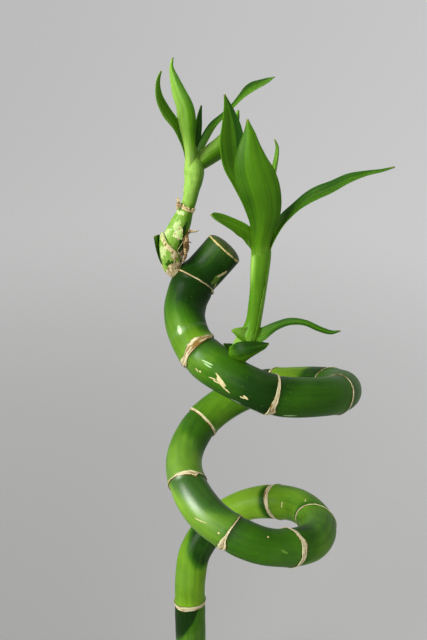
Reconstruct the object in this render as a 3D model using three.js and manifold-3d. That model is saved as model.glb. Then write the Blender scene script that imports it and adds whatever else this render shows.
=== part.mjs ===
// Curled lucky bamboo in a plain vase.
// Millimetres, +Z up. The origin is the middle of the vase's base, straight under the cane's foot.
// The view that the plant is shaped for looks along +Y and 22 degrees down.
import * as THREE from 'three';
import { mergeVertices } from 'three/addons/utils/BufferGeometryUtils.js';
import Module from 'manifold-3d';

const wasm = await Module();
wasm.setup();

// ---------------------------------------------------------------- driving dimensions
const GAP = 0.3;              // clearance between neighbouring pieces
const BLADE_THICKNESS = 0.8;

const VASE_HEIGHT = 100;
const VASE_RIM_RADIUS = 38;
const VASE_BASE_RADIUS = 34;
const VASE_WALL = 3.5;
const VASE_FLOOR = 8;
const BED_TOP = 83;           // top of the packed pebbles
const WATER_TOP = 89;
const TOP_PEBBLES = 28;

const COIL_AXIS = { x: 29, y: -15 };
// Centre line of the cut end, from the cut down to the coil: [x, y, z].
const CUT_END = [[15.4, -13, 361.8], [8.7, -14.5, 354.5], [4.6, -17, 350.6]];
// Centre line of the coil: [turn in degrees, distance from the coil's axis, height].
// Two turns and a bit, running down to the left-handed side.
const COIL = [
  [197, 28.8, 343.3], [211, 30.8, 337.3], [225, 29.8, 330.1], [270, 32, 321.7],
  [315, 32.3, 315.3], [360, 32.5, 306], [405, 31.7, 296], [450, 31, 288.5],
  [495, 30, 279.2], [540, 29.7, 271], [585, 29, 262.5], [630, 28, 253.6],
  [675, 27.8, 246.2], [720, 28, 239], [765, 29.3, 233.1], [810, 31, 224.9],
  [840, 32.8, 215.6], [860, 34, 204.5], [870, 33.2, 192],
];
const FOOT_HEIGHTS = [172, 120, 60, 14];   // the straight foot stands on the vase's axis
// Cane radius: [distance along the cane from the cut, radius].
const CANE_RADIUS = [
  [0, 7.2], [12, 7.2], [17, 8], [25, 7.5], [32, 7.2], [40, 7.1], [49, 7.4], [62, 6.8], [79, 6.8],
  [109, 6.8], [124, 7.4], [189, 7.7], [219, 7.5], [239, 7.5], [249, 7.6], [266, 7.2], [283, 6.9], [293, 7.2],
  [339, 7.6], [357, 7.9], [374, 7.4], [399, 7.8], [424, 7.4], [444, 7.6], [600, 7.4],
];
// Leaf scars that ring the cane: [distance along the cane, tilt, side of the tilt in degrees].
const SCARS = [
  [15.8, 1.2, 262], [43.9, 1, 56], [74.1, 0.4, -95], [107, 4, -164], [135.9, 1, 150], [166.6, 1.7, -170],
  [205.5, 2, -158], [238.1, 1.4, 180], [264.9, 1.1, 180], [289.9, 1.8, -16], [327.1, 5, 170], [355.4, 2.6, -123],
  [390.8, 1, 0], [433.8, 2.5, 52], [476.5, 1, 90], [519.4, 1, 200],
];
// The cut end is sealed by a low dome: [share of the radius, height beyond the cut].
const CAP = [[0.4, 2.3], [0.78, 1.6], [0.95, 0.7]];
const SCAR_HEIGHT = 0.35;
const SCAR_WIDTH = 1.6;
const CANE_SIDES = 12;
const CANE_STEP = 6;

// Stalks: [x, y, z, diameter] up their centre line.
const LEFT_STALK = [
  [-1, -17, 354, 4.5], [-3, -17, 356.5, 6.4], [-3.5, -17, 360.5, 7.8], [-3, -17, 364, 8.3], [-2.2, -17, 367, 8.2],
  [-0.9, -16.5, 370, 7.6], [0.5, -16, 373, 6.8], [1.9, -16, 376.5, 5.4], [3.3, -15.5, 380, 4.9],
  [4, -15.5, 383.5, 5.5], [4.8, -15, 387, 6.4], [5, -15, 390.5, 6.8], [4.4, -15.5, 395, 4.8], [4, -16, 399, 3],
];
const LEFT_BRANCH = [
  [4, -15, 389, 4.4], [5.5, -14.5, 391.5, 5.1], [8, -13.5, 393.2, 5.8], [10.5, -12.5, 395, 6.5], [13.5, -11.5, 397, 6.6],
  [16, -10.5, 399.5, 6], [17.5, -10, 402, 4.6], [18.8, -9.5, 404.6, 3], [19.6, -9, 407, 1.8],
  [20, -8.5, 409, 0.8],
];
const RIGHT_STALK = [
  [19, -40, 329.5, 5.2], [20, -40.5, 331.5, 6], [21, -40.5, 334.5, 6.9], [22.5, -40, 337.5, 7.2],
  [23.9, -39.5, 341, 5.9], [24.8, -39, 344.5, 5], [25.5, -38.5, 350, 5.1], [26.1, -38, 356, 5.4],
  [26.4, -38, 362, 6], [26.7, -37.5, 367, 6.2], [26.5, -37, 372, 5.6], [26, -36.5, 377, 4],
  [25.5, -36, 381, 2.4],
];
const STALK_SIDES = 12;

// Blades: spine is [x, y, z, width] from the root to the tip, face is the way the hollow side looks at
// the root and at the tip, and cup is the depth of the hollow as a share of the width.
const BLADES = {
  left_leaf_main: {
    spine: [[3.6, -17, 390, 3], [3.7, -18.4, 397, 3.5], [3.3, -18.9, 402, 5], [2.8, -19, 406.5, 6.3],
      [1.9, -18, 410.5, 6.3], [0, -16, 414.5, 5.3], [-1.7, -13.7, 419, 3.5], [-2.5, -12, 422.6, 1.5],
      [-2, -11, 425.3, 0.6]],
    face: [[0.1, 1, 0.1], [0.5, 1, 0.3]], cup: 0.14,
  },
  left_leaf_outer: {
    spine: [[3, -15.5, 392, 3], [2, -16.5, 397.8, 3.4], [1, -17.5, 401.2, 3.8], [-0.5, -19, 405, 4.4],
      [-3.4, -21, 409.2, 4.6], [-5.1, -22.4, 413, 3.6], [-5.5, -23.8, 416.8, 2.4], [-5.1, -24.6, 419.3, 1.5],
      [-4.3, -25, 421.1, 0.6]],
    face: [[0.7, -0.4, 0.5], [0.8, -0.6, -0.1]], cup: 0.16,
  },
  left_leaf_inner: {
    spine: [[4.8, -13.5, 391, 2.4], [5.4, -11.5, 396, 2.9], [6, -10, 400.5, 3], [6.5, -9, 404.5, 2.6],
      [7, -8, 408, 1.5], [7.5, -7, 410.5, 0.6]],
    face: [[0.5, -1, 0], [0.5, -1, 0]], cup: 0.08,
  },
  left_leaf_long: {
    spine: [[5, -13.5, 391.5, 2.8], [6.5, -12, 396.5, 3.6], [9, -10, 401, 3.9], [11.5, -8, 404.7, 3.7],
      [15.3, -5, 408, 3], [18.7, -2, 411, 2.4], [21.8, 0.7, 414, 3.8], [25, 3, 416.4, 6.6],
      [28.5, 5.5, 417.8, 7], [31.5, 8, 418.8, 3.6], [33.5, 9.5, 419.5, 0.6]],
    face: [[-0.7, -0.8, 0.3], [-0.3, -0.3, 1]], cup: 0.1,
  },
  right_leaf_broad: {
    spine: [[26.3, -38.3, 367, 5], [26.3, -40, 372, 5.6], [26.9, -41.6, 377, 8], [26.9, -42.6, 381, 10.4],
      [26.2, -43.5, 386, 12.2], [24.7, -44, 390.5, 12.6], [23, -44, 395, 10.9], [22.3, -43.3, 399.5, 7.7],
      [22, -41.8, 404, 3.8], [21.5, -40, 408, 0.6]],
    face: [[0, 1, 0.1], [0, 1, 0.1]], cup: 0.16,
  },
  right_leaf_back: {
    spine: [[26.3, -35.5, 371, 3.6], [25, -33.2, 377, 4.4], [22.9, -31.6, 383, 5.2], [20.4, -30.2, 389, 6.8],
      [18.3, -29, 394, 8.2], [17.4, -28, 400, 8.4], [17, -27, 405.5, 6.2], [16.1, -26, 410.5, 3],
      [15, -25.5, 414.5, 0.6]],
    face: [[0.3, -1, 0.2], [0.3, -1, 0.2]], cup: 0.16,
  },
  right_leaf_short: {
    spine: [[25.8, -38.3, 366.5, 3.2], [24.6, -39.3, 370.4, 4.6], [21.9, -40.8, 374.2, 5.8], [18.5, -42.6, 377, 6.2],
      [15, -45, 379.4, 6.3], [12.4, -47.2, 381, 4.6], [10.9, -48.5, 382.1, 0.6]],
    face: [[-0.3, -1, 0.5], [0.2, -0.4, 1]], cup: 0.12,
  },
  right_leaf_narrow: {
    spine: [[26.8, -35.3, 370, 4.5], [28, -32, 376, 6.5], [29, -29.5, 381.5, 7.5], [30.3, -27.3, 387, 7.5],
      [31.3, -25.3, 392, 6.5], [32, -24.6, 396, 4.6], [32, -24.6, 398.7, 3], [31, -25, 401, 0.6]],
    face: [[-1, -0.1, 0.2], [-1, -0.1, -0.2]], cup: 0.12,
  },
  right_leaf_long: {
    spine: [[28, -37.3, 363.5, 3], [29, -37, 368.5, 4.2], [30.5, -37.2, 373, 5.2], [33.4, -38, 378, 5.3],
      [37.2, -39.6, 382.3, 5], [41, -41, 385.7, 6.1], [46.5, -43, 388.7, 6.3], [51.5, -45, 391.7, 5.1],
      [56, -46.6, 393.5, 2.8], [60, -48.2, 394.6, 1.6], [63, -49.5, 395.8, 0.6]],
    face: [[-1, -0.5, 0.6], [-0.2, -0.3, 1]], cup: 0.14,
  },
  right_leaf_strap: {
    spine: [[24, -40.6, 338.6, 4.8], [25.6, -41.2, 339.7, 5.2], [27.8, -41.6, 340.7, 4.8], [29.6, -42.2, 342.2, 4],
      [32, -43.2, 344.2, 3.3], [36, -45.5, 346.7, 2.8], [40.5, -47.8, 347.3, 2.3], [45, -50, 346, 2.2],
      [48.5, -51.2, 345.4, 1.8], [51, -52, 346.3, 0.6]],
    face: [[-0.4, -0.9, 0.8], [0, -0.3, 1]], cup: 0.1,
  },
  right_bract_boat: {
    spine: [[17.4, -42, 333.6, 5], [19.7, -44.6, 335.2, 6.6], [21.9, -45.6, 336.4, 6.4], [24.2, -45.2, 336.9, 5.1],
      [26.6, -44, 337.1, 3.8], [28.4, -43.1, 337.2, 2.5], [29.8, -42.4, 337.7, 0.6]],
    face: [[0.2, 1, -0.2], [-0.3, 1, -0.2]], cup: 0.24,
  },
  right_bract_dark: {
    spine: [[18.5, -38, 333.5, 4], [16.8, -37.3, 334.2, 3], [15, -36.6, 335, 0.6]],
    face: [[0.2, -0.6, 1], [0.2, -0.6, 1]], cup: 0.15,
  },
  right_bract_small: {
    spine: [[23.6, -41.6, 340.2, 4.6], [22, -42.7, 341, 5], [20.3, -43.3, 341.9, 3.9], [18.9, -43.5, 342.5, 2.4],
      [17.5, -43.6, 342.9, 0.6]],
    face: [[0.3, -1, 0.5], [0.3, -1, 0.5]], cup: 0.2,
  },
  left_scale_cup: {
    spine: [[-4.5, -17, 355.5, 3.6], [-6.5, -17.2, 358.6, 4.6], [-7.5, -17.3, 362, 4.8],
      [-8.1, -17.4, 365, 4.4], [-8.6, -17.5, 367.8, 3.4]],
    face: [[1, -0.3, 0.5], [1, -0.5, 0]], cup: 0.24,
  },
};
const BLADE_ACROSS = 4;
const BLADE_STEP = 2.6;       // length of one row of faces along a blade

// Colours, straight from the plant.
const CANE_GREEN = 0x4e7a2a;
const STALK_GREEN = 0x84a84c;
const LEAF_GREEN = 0x4e7d1c;
const BRACT_GREEN = 0x2f4f1c;
const SCALE_TAN = 0x9a8a55;
const GLAZE_WHITE = 0xe6e2d8;
const PEBBLE_GREY = 0xb3aea3;
const WATER_CLEAR = 0xcfdcd6;

// ---------------------------------------------------------------- solids
function toSolid(geometry) {
  const bare = geometry.clone();
  bare.deleteAttribute('normal');
  bare.deleteAttribute('uv');
  const merged = mergeVertices(bare, 1e-4);
  const index = merged.index.array;
  const triangles = [];
  for (let i = 0; i < index.length; i += 3) {
    const [a, b, c] = [index[i], index[i + 1], index[i + 2]];
    if (a !== b && b !== c && c !== a) triangles.push(a, b, c);
  }
  return new wasm.Manifold(new wasm.Mesh({
    numProp: 3,
    vertProperties: new Float32Array(merged.attributes.position.array),
    triVerts: new Uint32Array(triangles),
  }));
}

function toGeometry(solid) {
  const mesh = solid.getMesh();
  const geometry = new THREE.BufferGeometry();
  geometry.setAttribute('position', new THREE.BufferAttribute(new Float32Array(mesh.vertProperties), 3));
  geometry.setIndex(new THREE.BufferAttribute(new Uint32Array(mesh.triVerts), 1));
  geometry.computeVertexNormals();
  return geometry;
}

// A cut can leave crumbs: only the largest body is the piece.
function largestBody(solid) {
  return solid.decompose().reduce((big, body) => (body.volume() > big.volume() ? body : big));
}

// ---------------------------------------------------------------- helpers for shapes
const vector = ([x, y, z]) => new THREE.Vector3(x, y, z);

// Value of a list of [place, value] pairs at a place, eased between neighbours.
function along(pairs, place) {
  const next = pairs.findIndex(([at]) => at >= place);
  if (next <= 0) return pairs[next === 0 ? 0 : pairs.length - 1][1];
  const [from, low] = pairs[next - 1];
  const [to, high] = pairs[next];
  return low + (high - low) * THREE.MathUtils.smoothstep(place, from, to);
}

// Bends an upright cylinder so that row j lies at place(j), a frame, with radius(j, angle).
function bentCylinder(sides, rows, place) {
  const geometry = new THREE.CylinderGeometry(1, 1, rows, sides, rows);
  const position = geometry.attributes.position;
  for (let i = 0; i < position.count; i += 1) {
    const row = Math.round(rows / 2 - position.getY(i));
    const reach = Math.hypot(position.getX(i), position.getZ(i));
    const angle = Math.atan2(position.getZ(i), position.getX(i));
    const point = place(row, angle, reach > 0.5);
    position.setXYZ(i, point.x, point.y, point.z);
  }
  return toSolid(geometry);
}

// ---------------------------------------------------------------- cane
function caneCurve() {
  const coil = COIL.map(([turn, reach, height]) => {
    const angle = THREE.MathUtils.degToRad(turn);
    return new THREE.Vector3(
      COIL_AXIS.x + reach * Math.cos(angle), COIL_AXIS.y + reach * Math.sin(angle), height);
  });
  const foot = FOOT_HEIGHTS.map((height) => new THREE.Vector3(0, 0, height));
  const curve = new THREE.CatmullRomCurve3([...CUT_END.map(vector), ...coil, ...foot]);
  curve.arcLengthDivisions = 1200;
  return curve;
}

// Frame on the cane: outward points away from the coil's axis.
function caneFrame(curve, length, distance) {
  const share = THREE.MathUtils.clamp(distance / length, 0, 1);
  const point = curve.getPointAt(share);
  const forward = curve.getTangentAt(share);
  const outward = new THREE.Vector3(point.x - COIL_AXIS.x, point.y - COIL_AXIS.y, 0);
  outward.addScaledVector(forward, -outward.dot(forward)).normalize();
  const side = new THREE.Vector3().crossVectors(forward, outward);
  return { point, forward, outward, side };
}

function caneStations(length) {
  const edges = [0, length];
  for (const [distance] of SCARS) edges.push(distance - SCAR_WIDTH, distance, distance + SCAR_WIDTH);
  edges.sort((a, b) => a - b);
  const stations = [...CAP.map(([, beyond]) => -beyond), 0];
  for (let i = 1; i < edges.length; i += 1) {
    const span = edges[i] - edges[i - 1];
    const straight = edges[i - 1] > SCARS.at(-3)[0];
    const count = Math.ceil(span / (straight ? 4 * CANE_STEP : CANE_STEP) - 1e-6);
    for (let k = 1; k <= count; k += 1) stations.push(edges[i - 1] + (span * k) / count);
  }
  return stations;
}

function caneSolid(grow) {
  const curve = caneCurve();
  const length = curve.getLength();
  const stations = caneStations(length);
  return bentCylinder(CANE_SIDES, stations.length - 1, (row, angle, onSkin) => {
    let distance = Math.max(stations[row], 0);
    let radius = along(CANE_RADIUS, distance) * (CAP[row]?.[0] ?? 1) + grow;
    const beyond = CAP[row]?.[1] ?? 0;
    for (const [centre, tilt, side] of SCARS) {
      const near = Math.abs(distance - centre);
      if (near < 1e-6) radius += SCAR_HEIGHT;
      if (onSkin && distance > 0 && row < stations.length - 1) {
        const share = Math.exp(-((near / 7) ** 2));
        distance += tilt * share * Math.cos(angle - THREE.MathUtils.degToRad(side));
      }
    }
    const { point, forward, outward, side } = caneFrame(curve, length, distance);
    point.addScaledVector(forward, -beyond);
    if (!onSkin) return point;
    return point.addScaledVector(outward, radius * Math.cos(angle)).addScaledVector(side, radius * Math.sin(angle));
  });
}

// ---------------------------------------------------------------- stalks
function stalkSolid(stations, grow, step = 2.5) {
  const curve = new THREE.CatmullRomCurve3(stations.map(vector));
  const girth = new THREE.SplineCurve(stations.map(([, , , diameter], i) => new THREE.Vector2(i, diameter)));
  const rows = Math.round(curve.getLength() / step);
  const { normals, binormals } = curve.computeFrenetFrames(rows);
  return bentCylinder(STALK_SIDES, rows, (row, angle, onSkin) => {
    const share = curve.getUtoTmapping(row / rows);
    const point = curve.getPoint(share);
    if (!onSkin) return point;
    const radius = girth.getPoint(share).y / 2 + grow;
    return point
      .addScaledVector(normals[row], radius * Math.cos(angle))
      .addScaledVector(binormals[row], radius * Math.sin(angle));
  });
}

// ---------------------------------------------------------------- blades
// A blade is a bent sheet with a wall of even thickness, and both its faces are split alike.
function bladeSolid({ spine, face, cup }, grow) {
  const curve = new THREE.CatmullRomCurve3(spine.map(vector));
  const breadth = new THREE.SplineCurve(spine.map(([, , , width], i) => new THREE.Vector2(i, width)));
  const rows = Math.round(curve.getLength() / BLADE_STEP);
  const sheet = new THREE.PlaneGeometry(1, 1, BLADE_ACROSS, rows);
  const position = sheet.attributes.position;
  const count = position.count;
  const half = BLADE_THICKNESS / 2 + grow;
  const points = new Float32Array(count * 6);
  for (let i = 0; i < count; i += 1) {
    const share = 0.5 - position.getY(i);
    const across = 2 * position.getX(i);
    const at = curve.getUtoTmapping(share);
    const point = curve.getPoint(at);
    const forward = curve.getTangent(at);
    const looks = vector(face[0]).lerp(vector(face[1]), share);
    const side = new THREE.Vector3().crossVectors(forward, looks).normalize();
    const up = new THREE.Vector3().crossVectors(side, forward);
    const reach = Math.max(breadth.getPoint(at).y, 0.6) / 2 + grow;
    const rise = 2 * cup * reach * (across * across - 0.5);
    point.addScaledVector(side, reach * across).addScaledVector(up, rise);
    const tilt = Math.atan(4 * cup * across);
    const normal = up.multiplyScalar(Math.cos(tilt)).addScaledVector(side, -Math.sin(tilt));
    point.clone().addScaledVector(normal, half).toArray(points, 3 * i);
    point.clone().addScaledVector(normal, -half).toArray(points, 3 * (count + i));
  }
  const faces = [];
  const index = sheet.index.array;
  for (let i = 0; i < index.length; i += 3) {
    const [a, b, c] = [index[i], index[i + 1], index[i + 2]];
    faces.push(a, c, b, count + a, count + b, count + c);
  }
  const wide = BLADE_ACROSS + 1;
  const rim = [];
  for (let i = 0; i < BLADE_ACROSS; i += 1) rim.push(i);
  for (let j = 0; j < rows; j += 1) rim.push(j * wide + BLADE_ACROSS);
  for (let i = BLADE_ACROSS; i > 0; i -= 1) rim.push(rows * wide + i);
  for (let j = rows; j > 0; j -= 1) rim.push(j * wide);
  rim.forEach((a, i) => {
    const b = rim[(i + 1) % rim.length];
    faces.push(b, a, count + a, b, count + a, count + b);
  });
  const geometry = new THREE.BufferGeometry();
  geometry.setAttribute('position', new THREE.BufferAttribute(points, 3));
  geometry.setIndex(faces);
  return toSolid(geometry);
}

// ---------------------------------------------------------------- vase, pebbles and water
function turned(profile, segments = 40) {
  const points = profile.map(([radius, height]) => new THREE.Vector2(radius, height));
  const geometry = new THREE.LatheGeometry(points, segments);
  geometry.rotateX(Math.PI / 2);
  return toSolid(geometry);
}

function vaseInnerRadius(height) {
  const share = height / VASE_HEIGHT;
  return VASE_BASE_RADIUS + (VASE_RIM_RADIUS - VASE_BASE_RADIUS) * share - VASE_WALL;
}

function vaseSolid() {
  const round = 2;
  return turned([
    [0, 0], [VASE_BASE_RADIUS - round, 0], [VASE_BASE_RADIUS - 0.3, 0.8], [VASE_BASE_RADIUS, round],
    [VASE_RIM_RADIUS, VASE_HEIGHT - 1.5], [VASE_RIM_RADIUS - 0.6, VASE_HEIGHT - 0.3],
    [VASE_RIM_RADIUS - VASE_WALL / 2, VASE_HEIGHT], [VASE_RIM_RADIUS - VASE_WALL + 0.6, VASE_HEIGHT - 0.4],
    [vaseInnerRadius(VASE_HEIGHT), VASE_HEIGHT - 1.5], [vaseInnerRadius(VASE_FLOOR), VASE_FLOOR], [0, VASE_FLOOR],
  ]);
}

// A slice of the vase's inside, clear of the wall.
function filling(low, high) {
  return turned([
    [0, low], [vaseInnerRadius(low) - GAP, low], [vaseInnerRadius(high) - GAP, high], [0, high],
  ]);
}

// Rounded stones on a sunflower spiral, each turned and stretched by its own number.
function topPebbles(grow) {
  const golden = Math.PI * (3 - Math.sqrt(5));
  const inner = 7;
  const outer = vaseInnerRadius(BED_TOP) - 5;
  const stones = [];
  for (let i = 0; i < TOP_PEBBLES; i += 1) {
    const reach = inner + (outer - inner) * Math.sqrt((i + 0.5) / TOP_PEBBLES);
    const size = 4.4 + 1.3 * Math.sin(7.3 * i);
    const geometry = new THREE.SphereGeometry(1, 6, 4);
    geometry.scale(size * 1.2 + grow, size + grow, size * 0.8 + grow);
    geometry.rotateX(0.5 * Math.sin(3.1 * i));
    geometry.rotateZ(2.4 * i);
    geometry.translate(reach * Math.cos(golden * i), reach * Math.sin(golden * i), BED_TOP + 1 + Math.sin(5.7 * i));
    stones.push(toSolid(geometry));
  }
  return wasm.Manifold.union(stones);
}

// ---------------------------------------------------------------- the plant in its vase
const group = new THREE.Group();

function addPiece(name, solid, colour, roughness) {
  const material = new THREE.MeshStandardMaterial({ color: colour, roughness, metalness: 0 });
  const mesh = new THREE.Mesh(toGeometry(solid), material);
  mesh.name = name;
  group.add(mesh);
}

const cane = caneSolid(0);
const caneHole = caneSolid(GAP);
addPiece('cane', cane, CANE_GREEN, 0.35);

addPiece('vase', vaseSolid(), GLAZE_WHITE, 0.2);
const bed = filling(VASE_FLOOR + GAP, BED_TOP).add(topPebbles(0).intersect(filling(BED_TOP - 8, VASE_HEIGHT)));
addPiece('pebbles', largestBody(bed.subtract(caneHole)), PEBBLE_GREY, 0.6);
const water = filling(BED_TOP + GAP, WATER_TOP).subtract(topPebbles(GAP)).subtract(caneHole);
addPiece('water', largestBody(water), WATER_CLEAR, 0.05);

const leftStalk = stalkSolid(LEFT_STALK, 0).add(stalkSolid(LEFT_BRANCH, 0));
addPiece('left_shoot_stalk', largestBody(leftStalk.subtract(caneHole)), STALK_GREEN, 0.45);
const rightStalk = stalkSolid(RIGHT_STALK, 0);
addPiece('right_shoot_stalk', largestBody(rightStalk.subtract(caneHole)), STALK_GREEN, 0.45);

// Each blade stands clear of the cane, the stalks and the blades before it.
let taken = wasm.Manifold.union([
  caneHole, stalkSolid(LEFT_STALK, GAP), stalkSolid(LEFT_BRANCH, GAP), stalkSolid(RIGHT_STALK, GAP),
]);
for (const [name, blade] of Object.entries(BLADES)) {
  let colour = LEAF_GREEN;
  if (name.includes('bract')) colour = BRACT_GREEN;
  if (name.includes('scale')) colour = SCALE_TAN;
  addPiece(name, largestBody(bladeSolid(blade, 0).subtract(taken)), colour, 0.45);
  taken = taken.add(bladeSolid(blade, GAP));
}

export default group;
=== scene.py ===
import math

import bmesh
import bpy
import numpy as np
from bpy.props import FloatProperty, FloatVectorProperty, IntProperty, PointerProperty
from bpy.types import Operator, Panel, PropertyGroup
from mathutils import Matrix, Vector, noise


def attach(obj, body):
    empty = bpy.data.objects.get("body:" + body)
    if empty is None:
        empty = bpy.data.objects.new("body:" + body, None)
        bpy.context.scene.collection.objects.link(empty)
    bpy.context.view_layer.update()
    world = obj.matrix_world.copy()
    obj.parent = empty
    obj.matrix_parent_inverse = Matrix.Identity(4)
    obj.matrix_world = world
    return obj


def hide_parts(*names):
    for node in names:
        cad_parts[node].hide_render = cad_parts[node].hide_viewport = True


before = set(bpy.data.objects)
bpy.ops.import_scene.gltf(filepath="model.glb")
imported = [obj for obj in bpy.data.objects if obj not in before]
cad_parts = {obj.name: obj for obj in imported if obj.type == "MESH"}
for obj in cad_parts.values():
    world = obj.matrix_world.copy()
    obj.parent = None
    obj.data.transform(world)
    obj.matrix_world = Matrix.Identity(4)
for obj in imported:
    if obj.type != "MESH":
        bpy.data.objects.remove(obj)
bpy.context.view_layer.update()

bl_info = {
    "name": "Curled Lucky Bamboo",
    "version": (1, 0, 0),
    "blender": (4, 5, 0),
    "location": "3D View > Sidebar > Bamboo",
    "description": "A curled lucky bamboo with two shoots, in a plain glazed vase",
    "category": "Add Mesh",
}

MM = 0.001

# ---------------------------------------------------------------- shape of the plant, in millimetres
COIL_AXIS = (29, -15)
# Centre line of the cut end, from the cut down to the coil.
CUT_END = [(15.4, -13, 361.8), (8.7, -14.5, 354.5), (4.6, -17, 350.6)]
# Centre line of the coil: turn in degrees, distance from the coil's axis, height.
COIL = [
    (197, 28.8, 343.3), (211, 30.8, 337.3), (225, 29.8, 330.1), (270, 32, 321.7), (315, 32.3, 315.3),
    (360, 32.5, 306), (405, 31.7, 296), (450, 31, 288.5), (495, 30, 279.2),
    (540, 29.7, 271), (585, 29, 262.5), (630, 28, 253.6), (675, 27.8, 246.2),
    (720, 28, 239), (765, 29.3, 233.1), (810, 31, 224.9), (840, 32.8, 215.6),
    (860, 34, 204.5), (870, 33.2, 192),
]
FOOT_HEIGHTS = (172, 120, 60, 14)
# Radius of the cane by the distance along it from the cut.
CANE_RADIUS = [
    (0, 7.2), (12, 7.2), (17, 8), (25, 7.5), (32, 7.2), (40, 7.1), (49, 7.4), (62, 6.8), (79, 6.8),
    (109, 6.8), (124, 7.4), (189, 7.7), (219, 7.5), (239, 7.5), (249, 7.6), (266, 7.2), (283, 6.9),
    (293, 7.2), (339, 7.6), (357, 7.9), (374, 7.4), (399, 7.8), (424, 7.4), (444, 7.6), (600, 7.4),
]
# Leaf scars: distance along the cane, tilt, side of the tilt in degrees, then the papery band that is left
# there: its width, how much wider it is on one side, that side in degrees, how torn it is, how brown it is.
SCARS = [
    (15.8, 1.2, 262, 0.45, 0.0, 330, 0.3, 0.7),
    (43.9, 1, 56, 0.6, 0.0, 314, 0.35, 0.5),
    (74.1, 0.4, -95, 0.65, 0.8, 25, 0.4, 0.3),
    (107, 4, -164, 1.4, 0.4, 300, 0.4, 0.4),
    (135.9, 1, 150, 1.0, 0.2, 90, 0.3, 0.5),
    (166.6, 1.7, -170, 1.2, 0.3, 180, 0.4, 0.4),
    (205.5, 2, -158, 0.9, 0.5, 200, 0.4, 0.6),
    (238.1, 1.4, 180, 0.8, 0.5, 285, 0.5, 0.5),
    (264.9, 1.1, 180, 0.55, 0.9, 5, 0.5, 0.3),
    (289.9, 1.8, -16, 1.1, 1.1, 325, 0.5, 0.35),
    (327.1, 5, 170, 1.0, 0.3, 200, 0.3, 0.4),
    (355.4, 2.6, -123, 2.3, 0.4, 190, 0.3, 0.35),
    (390.8, 1, 0, 1.1, 0.3, 0, 0.3, 0.3),
    (433.8, 2.5, 52, 2.0, 0.8, 285, 0.3, 0.05),
    (476.5, 1, 90, 1.5, 0.6, 120, 0.4, 0.3),
    (519.4, 1, 200, 1.4, 0.5, 40, 0.4, 0.3),
]
# Torn tags of a band: number of the scar from 0, side in degrees, reach down the cane, half width in degrees.
TAGS = [(0, 196, 1.4, 14), (2, 30, 0.8, 16), (9, 318, 0.8, 22)]
# Torn bands by the number of the scar from 0: side in degrees, reach up the cane, reach down it.
TORN_BANDS = {
    1: [(0, 0.9, 1.0), (12, 0.9, 1.7), (25, 0.3, 0.5), (60, 0.3, 0.3), (215, 0.3, 0.3), (236, 0.5, 0.6),
        (250, 0.9, 1.3), (266, 1.4, 0.7), (282, 2.3, 0.7), (302, 2.8, 0.6), (318, 2.3, 0.5), (336, 1.2, 0.5),
        (350, 0.9, 0.6)],
    7: [(0, 0.2, 0.2), (215, 0.2, 0.2), (240, 0.25, 0.3), (248, 0.45, 1.2), (256, 0.6, 2.4), (266, 0.6, 1.2),
        (284, 0.6, 0.8), (300, 0.5, 0.4), (315, 0.3, 0.25), (335, 0.2, 0.2)],
    8: [(3, 1.0, 1.6), (14, 0.9, 2.4), (24, 0.6, 1.2), (40, 0.4, 0.4), (180, 0.2, 0.25), (300, 0.2, 0.3),
        (330, 0.3, 0.4), (348, 0.7, 0.9)],
}
# Each stretch between two scars: how pale it is at its top and at its foot, then the dark part below the
# scar: its length, how much longer it is on one side, that side in degrees, how softly it ends and how
# dark it is. The dark part is partly the cane's own deeper green below a scar and partly painted shade: on
# most stretches its longer side lies on the inner side of the coil, where shade falls, and some stretches
# are paler or darker for painted light or shade.
STRETCHES = [
    (0.28, 0.22, 0, 0, 0, 1, 0),
    (0.4, 0.74, 10.5, 13, 222, 10, 0.75),
    (0.62, 0.06, 0, 9, 236, 6, 0.5),
    (0.34, 0.43, 3, 2, 240, 5, 0.35),
    (0.46, 0.45, 3, 2, 0, 3, 0.2),
    (0.65, 0.8, 10, 4, 200, 3, 0.6),
    (0.56, 0.57, 5, 2, 200, 4, 0.6),
    (0.55, 0.66, 8, 12, 200, 6, 0.3),
    (0.84, 0.58, 4, 20, 246, 8, 0.5),
    (0.42, 0.45, 1.5, 3, 240, 4, 0.4),
    (0.56, 0.55, 5, 7, 250, 5, 0.42),
    (0.6, 0.66, 2, 1.5, 200, 3, 0.6),
    (0.84, 0.8, 3.5, 2, 200, 3, 0.65),
    (0.64, 0.72, 8, 13, 205, 4, 0.64),
    (0.5, 0.62, 9, 13, 330, 1.5, 0.8),
    (0.7, 0.8, 9, 10, 120, 2, 0.7),
    (0.6, 0.7, 10, 8, 20, 2, 0.7),
]
# The wound's cap beyond the cut: share of the radius, height.
CAP = [(1.0, 0.25), (0.97, 0.6), (0.9, 1.05), (0.78, 1.6), (0.6, 2.05), (0.4, 2.35), (0.2, 2.5)]
# How far along the cane a scar's tilt is felt, and the height of the swelling above a scar.
SCAR_LEAN, SCAR_SWELL = 7, 0.22
# Length of a row of faces near a scar and how near that is, then on the plain foot and where that starts.
SCAR_ROW, SCAR_REACH = 0.5, 3
FOOT_ROW, FOOT_START = 3, 450
# Distances that stand for a scar before the cut and for one past the foot.
BEFORE_CUT, PAST_FOOT = -20, 600
# Radius that the pattern of a papery band is laid out on.
BAND_RADIUS = 7

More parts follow.
